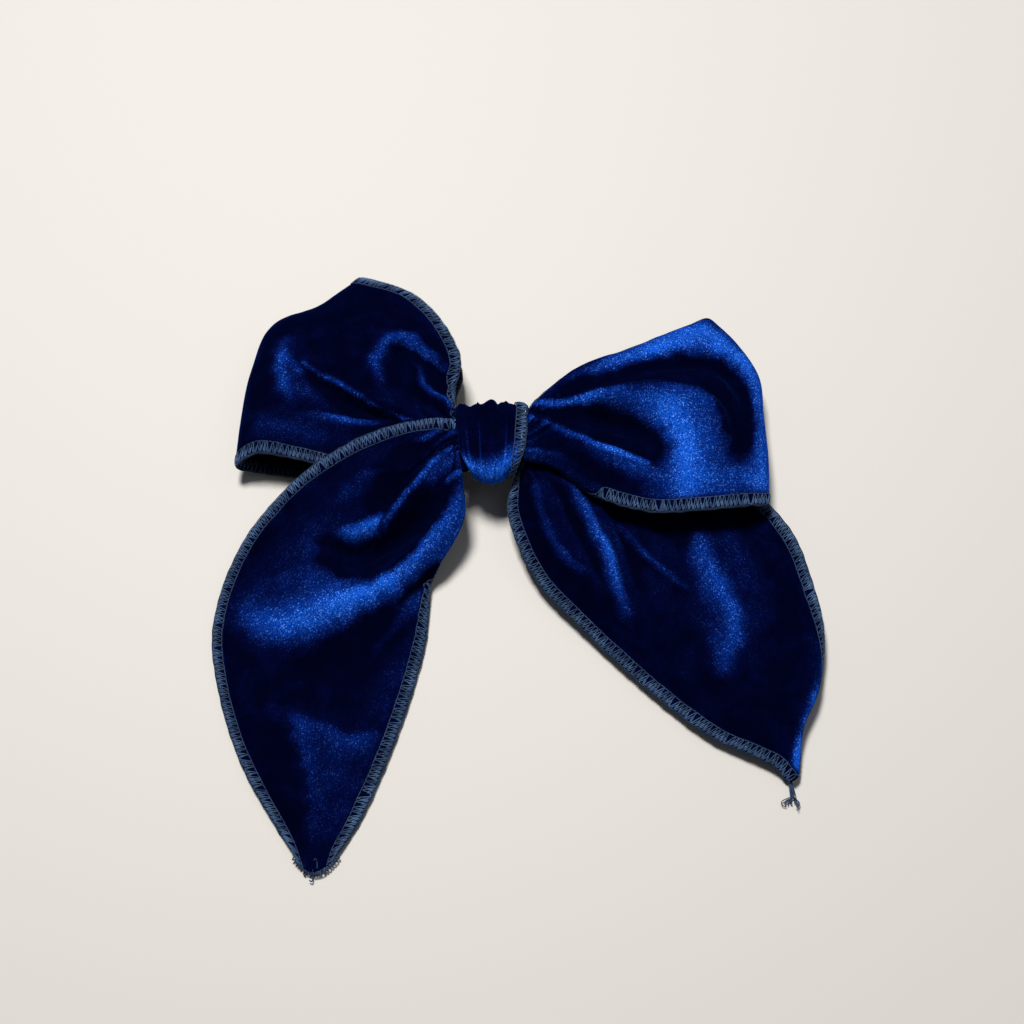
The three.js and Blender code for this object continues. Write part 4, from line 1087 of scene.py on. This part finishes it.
def rounded_end(start, end, bulge, loops, width):
    """Overlock loops that carry the seam round a blunt tip from start to end."""
    start, end = np.array(start, float), np.array(end, float)
    paths = []
    for k in range(loops):
        t = (k + 0.5) / loops
        base = start * (1 - t) + end * t
        base = base + np.array([0, -bulge * math.sin(math.pi * t), 0])
        lean = math.radians(-90 + 60 * (t - 0.5) * 2)
        out = np.array([math.cos(lean), math.sin(lean), 0])
        side = np.array([-out[1], out[0], 0])
        turn = np.linspace(0, 2 * math.pi, 13)[:, None]
        gauge = 0.5 + RNG.normal(0, 0.12)
        ring = base + out * width * 0.5 * np.cos(turn) + side * gauge * np.sin(turn)
        ring[:, 2] = 1.45 + 0.5 * np.sin(turn[:, 0] * 0.5) + RNG.normal(0, 0.08)
        # Painted shade: each loop is darker where it lies lower.
        paths.append(toned(ring, 0.2 + 0.55 * np.sin(turn[:, 0] * 0.5)))
    return paths


stitch("left_tip_threads", "left_tip_fray",
       rounded_end((-52.6, -103.6, 1), (-43.7, -103.6, 1), 3.6, 20, 4.2)
       + rounded_end((-51.6, -101.6, 1), (-44.6, -101.6, 1), 3, 13, 3.6)
       + rounded_end((-50.4, -99.4, 1), (-45.6, -99.4, 1), 2.4, 8, 3)
       + strands((-49.4, -108, 1), 1.6, (-0.2, -1), 1.3, 40, 7, 0.5), 0.19)
stitch("right_tip_threads", "right_tip_fray",
       strands((73.6, -89.6, 1), 0.45, (0.03, -1), 6.4, 3, 14, 0.05)
       + strands((73.9, -94, 1), 0.5, (0.1, -1), 3.2, 36, 10, 0.4))

# ---------- carried-over clip ----------

CARRIED = {
    "clip_plate": STEEL, "clip_jaw": STEEL, "jaw_pin": STEEL, "clip_spring": STEEL,
    "clip_spring_leg": STEEL, "clip_lining": RIBBON, "glue_pad": GLUE, "gathering_thread": SERGING,
}
for node_name, material in CARRIED.items():
    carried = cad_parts[node_name]
    carried.data.materials.clear()
    carried.data.materials.append(material)

# ---------- stage, camera and lights ----------


FLOOR_HALF = 3.0             # metres
FLOOR_GAP = 0.0001           # metres below the part, so that no faces coincide
LENS = 66.8
CAMERA_FROM_FOOT = (5.1, -207.6, 480.0)
CAMERA_TILT, CAMERA_TURN = 22.2, -2.35       # degrees


def make_floor():
    mesh = bpy.data.meshes.new("floor")
    corners = [(x * FLOOR_HALF, y * FLOOR_HALF, 0) for x, y in ((-1, -1), (1, -1), (1, 1), (-1, 1))]
    mesh.from_pydata(corners, [], [(0, 1, 2, 3)])
    floor = add_object("floor", mesh)
    floor.location.z = CAD_BOX[0].z - FLOOR_GAP
    mesh.materials.append(new_material("pale_floor", (0.6, 0.58, 0.55), 0.6)[0])


def make_camera():
    data = bpy.data.cameras.new("camera")
    data.lens = LENS
    data.sensor_width = 36.0
    data.clip_start = 0.01
    camera = add_object("camera", data)
    camera.location = (FOOT + np.array(CAMERA_FROM_FOOT)) * MM
    camera.rotation_mode = "ZYX"
    camera.rotation_euler = (math.radians(CAMERA_TILT), 0.0, math.radians(CAMERA_TURN))
    bpy.context.scene.camera = camera


def softbox(name, place, size, power, color):
    data = bpy.data.lights.new(name, "AREA")
    data.size = size
    data.energy = power
    data.color = color
    light = add_object(name, data)
    light.location = place
    track = light.constraints.new("TRACK_TO")
    track.target = add_object(name + "_aim", None)
    track.track_axis = "TRACK_NEGATIVE_Z"
    track.up_axis = "UP_Y"


def make_light():
    softbox("key", (-0.13, 0.38, 1.06), 0.24, 16.0, (1.0, 0.98, 0.95))
    softbox("fill", (0.6, 0.15, 0.9), 0.7, 0.85, (0.95, 0.97, 1.0))
    world = bpy.data.worlds.new("studio")
    world.use_nodes = True
    background = world.node_tree.nodes["Background"]
    background.inputs["Color"].default_value = (0.9, 0.93, 1.0, 1)
    background.inputs["Strength"].default_value = 0.09
    bpy.context.scene.world = world
    bpy.context.scene.view_settings.view_transform = "Standard"


make_floor()
make_camera()
make_light()
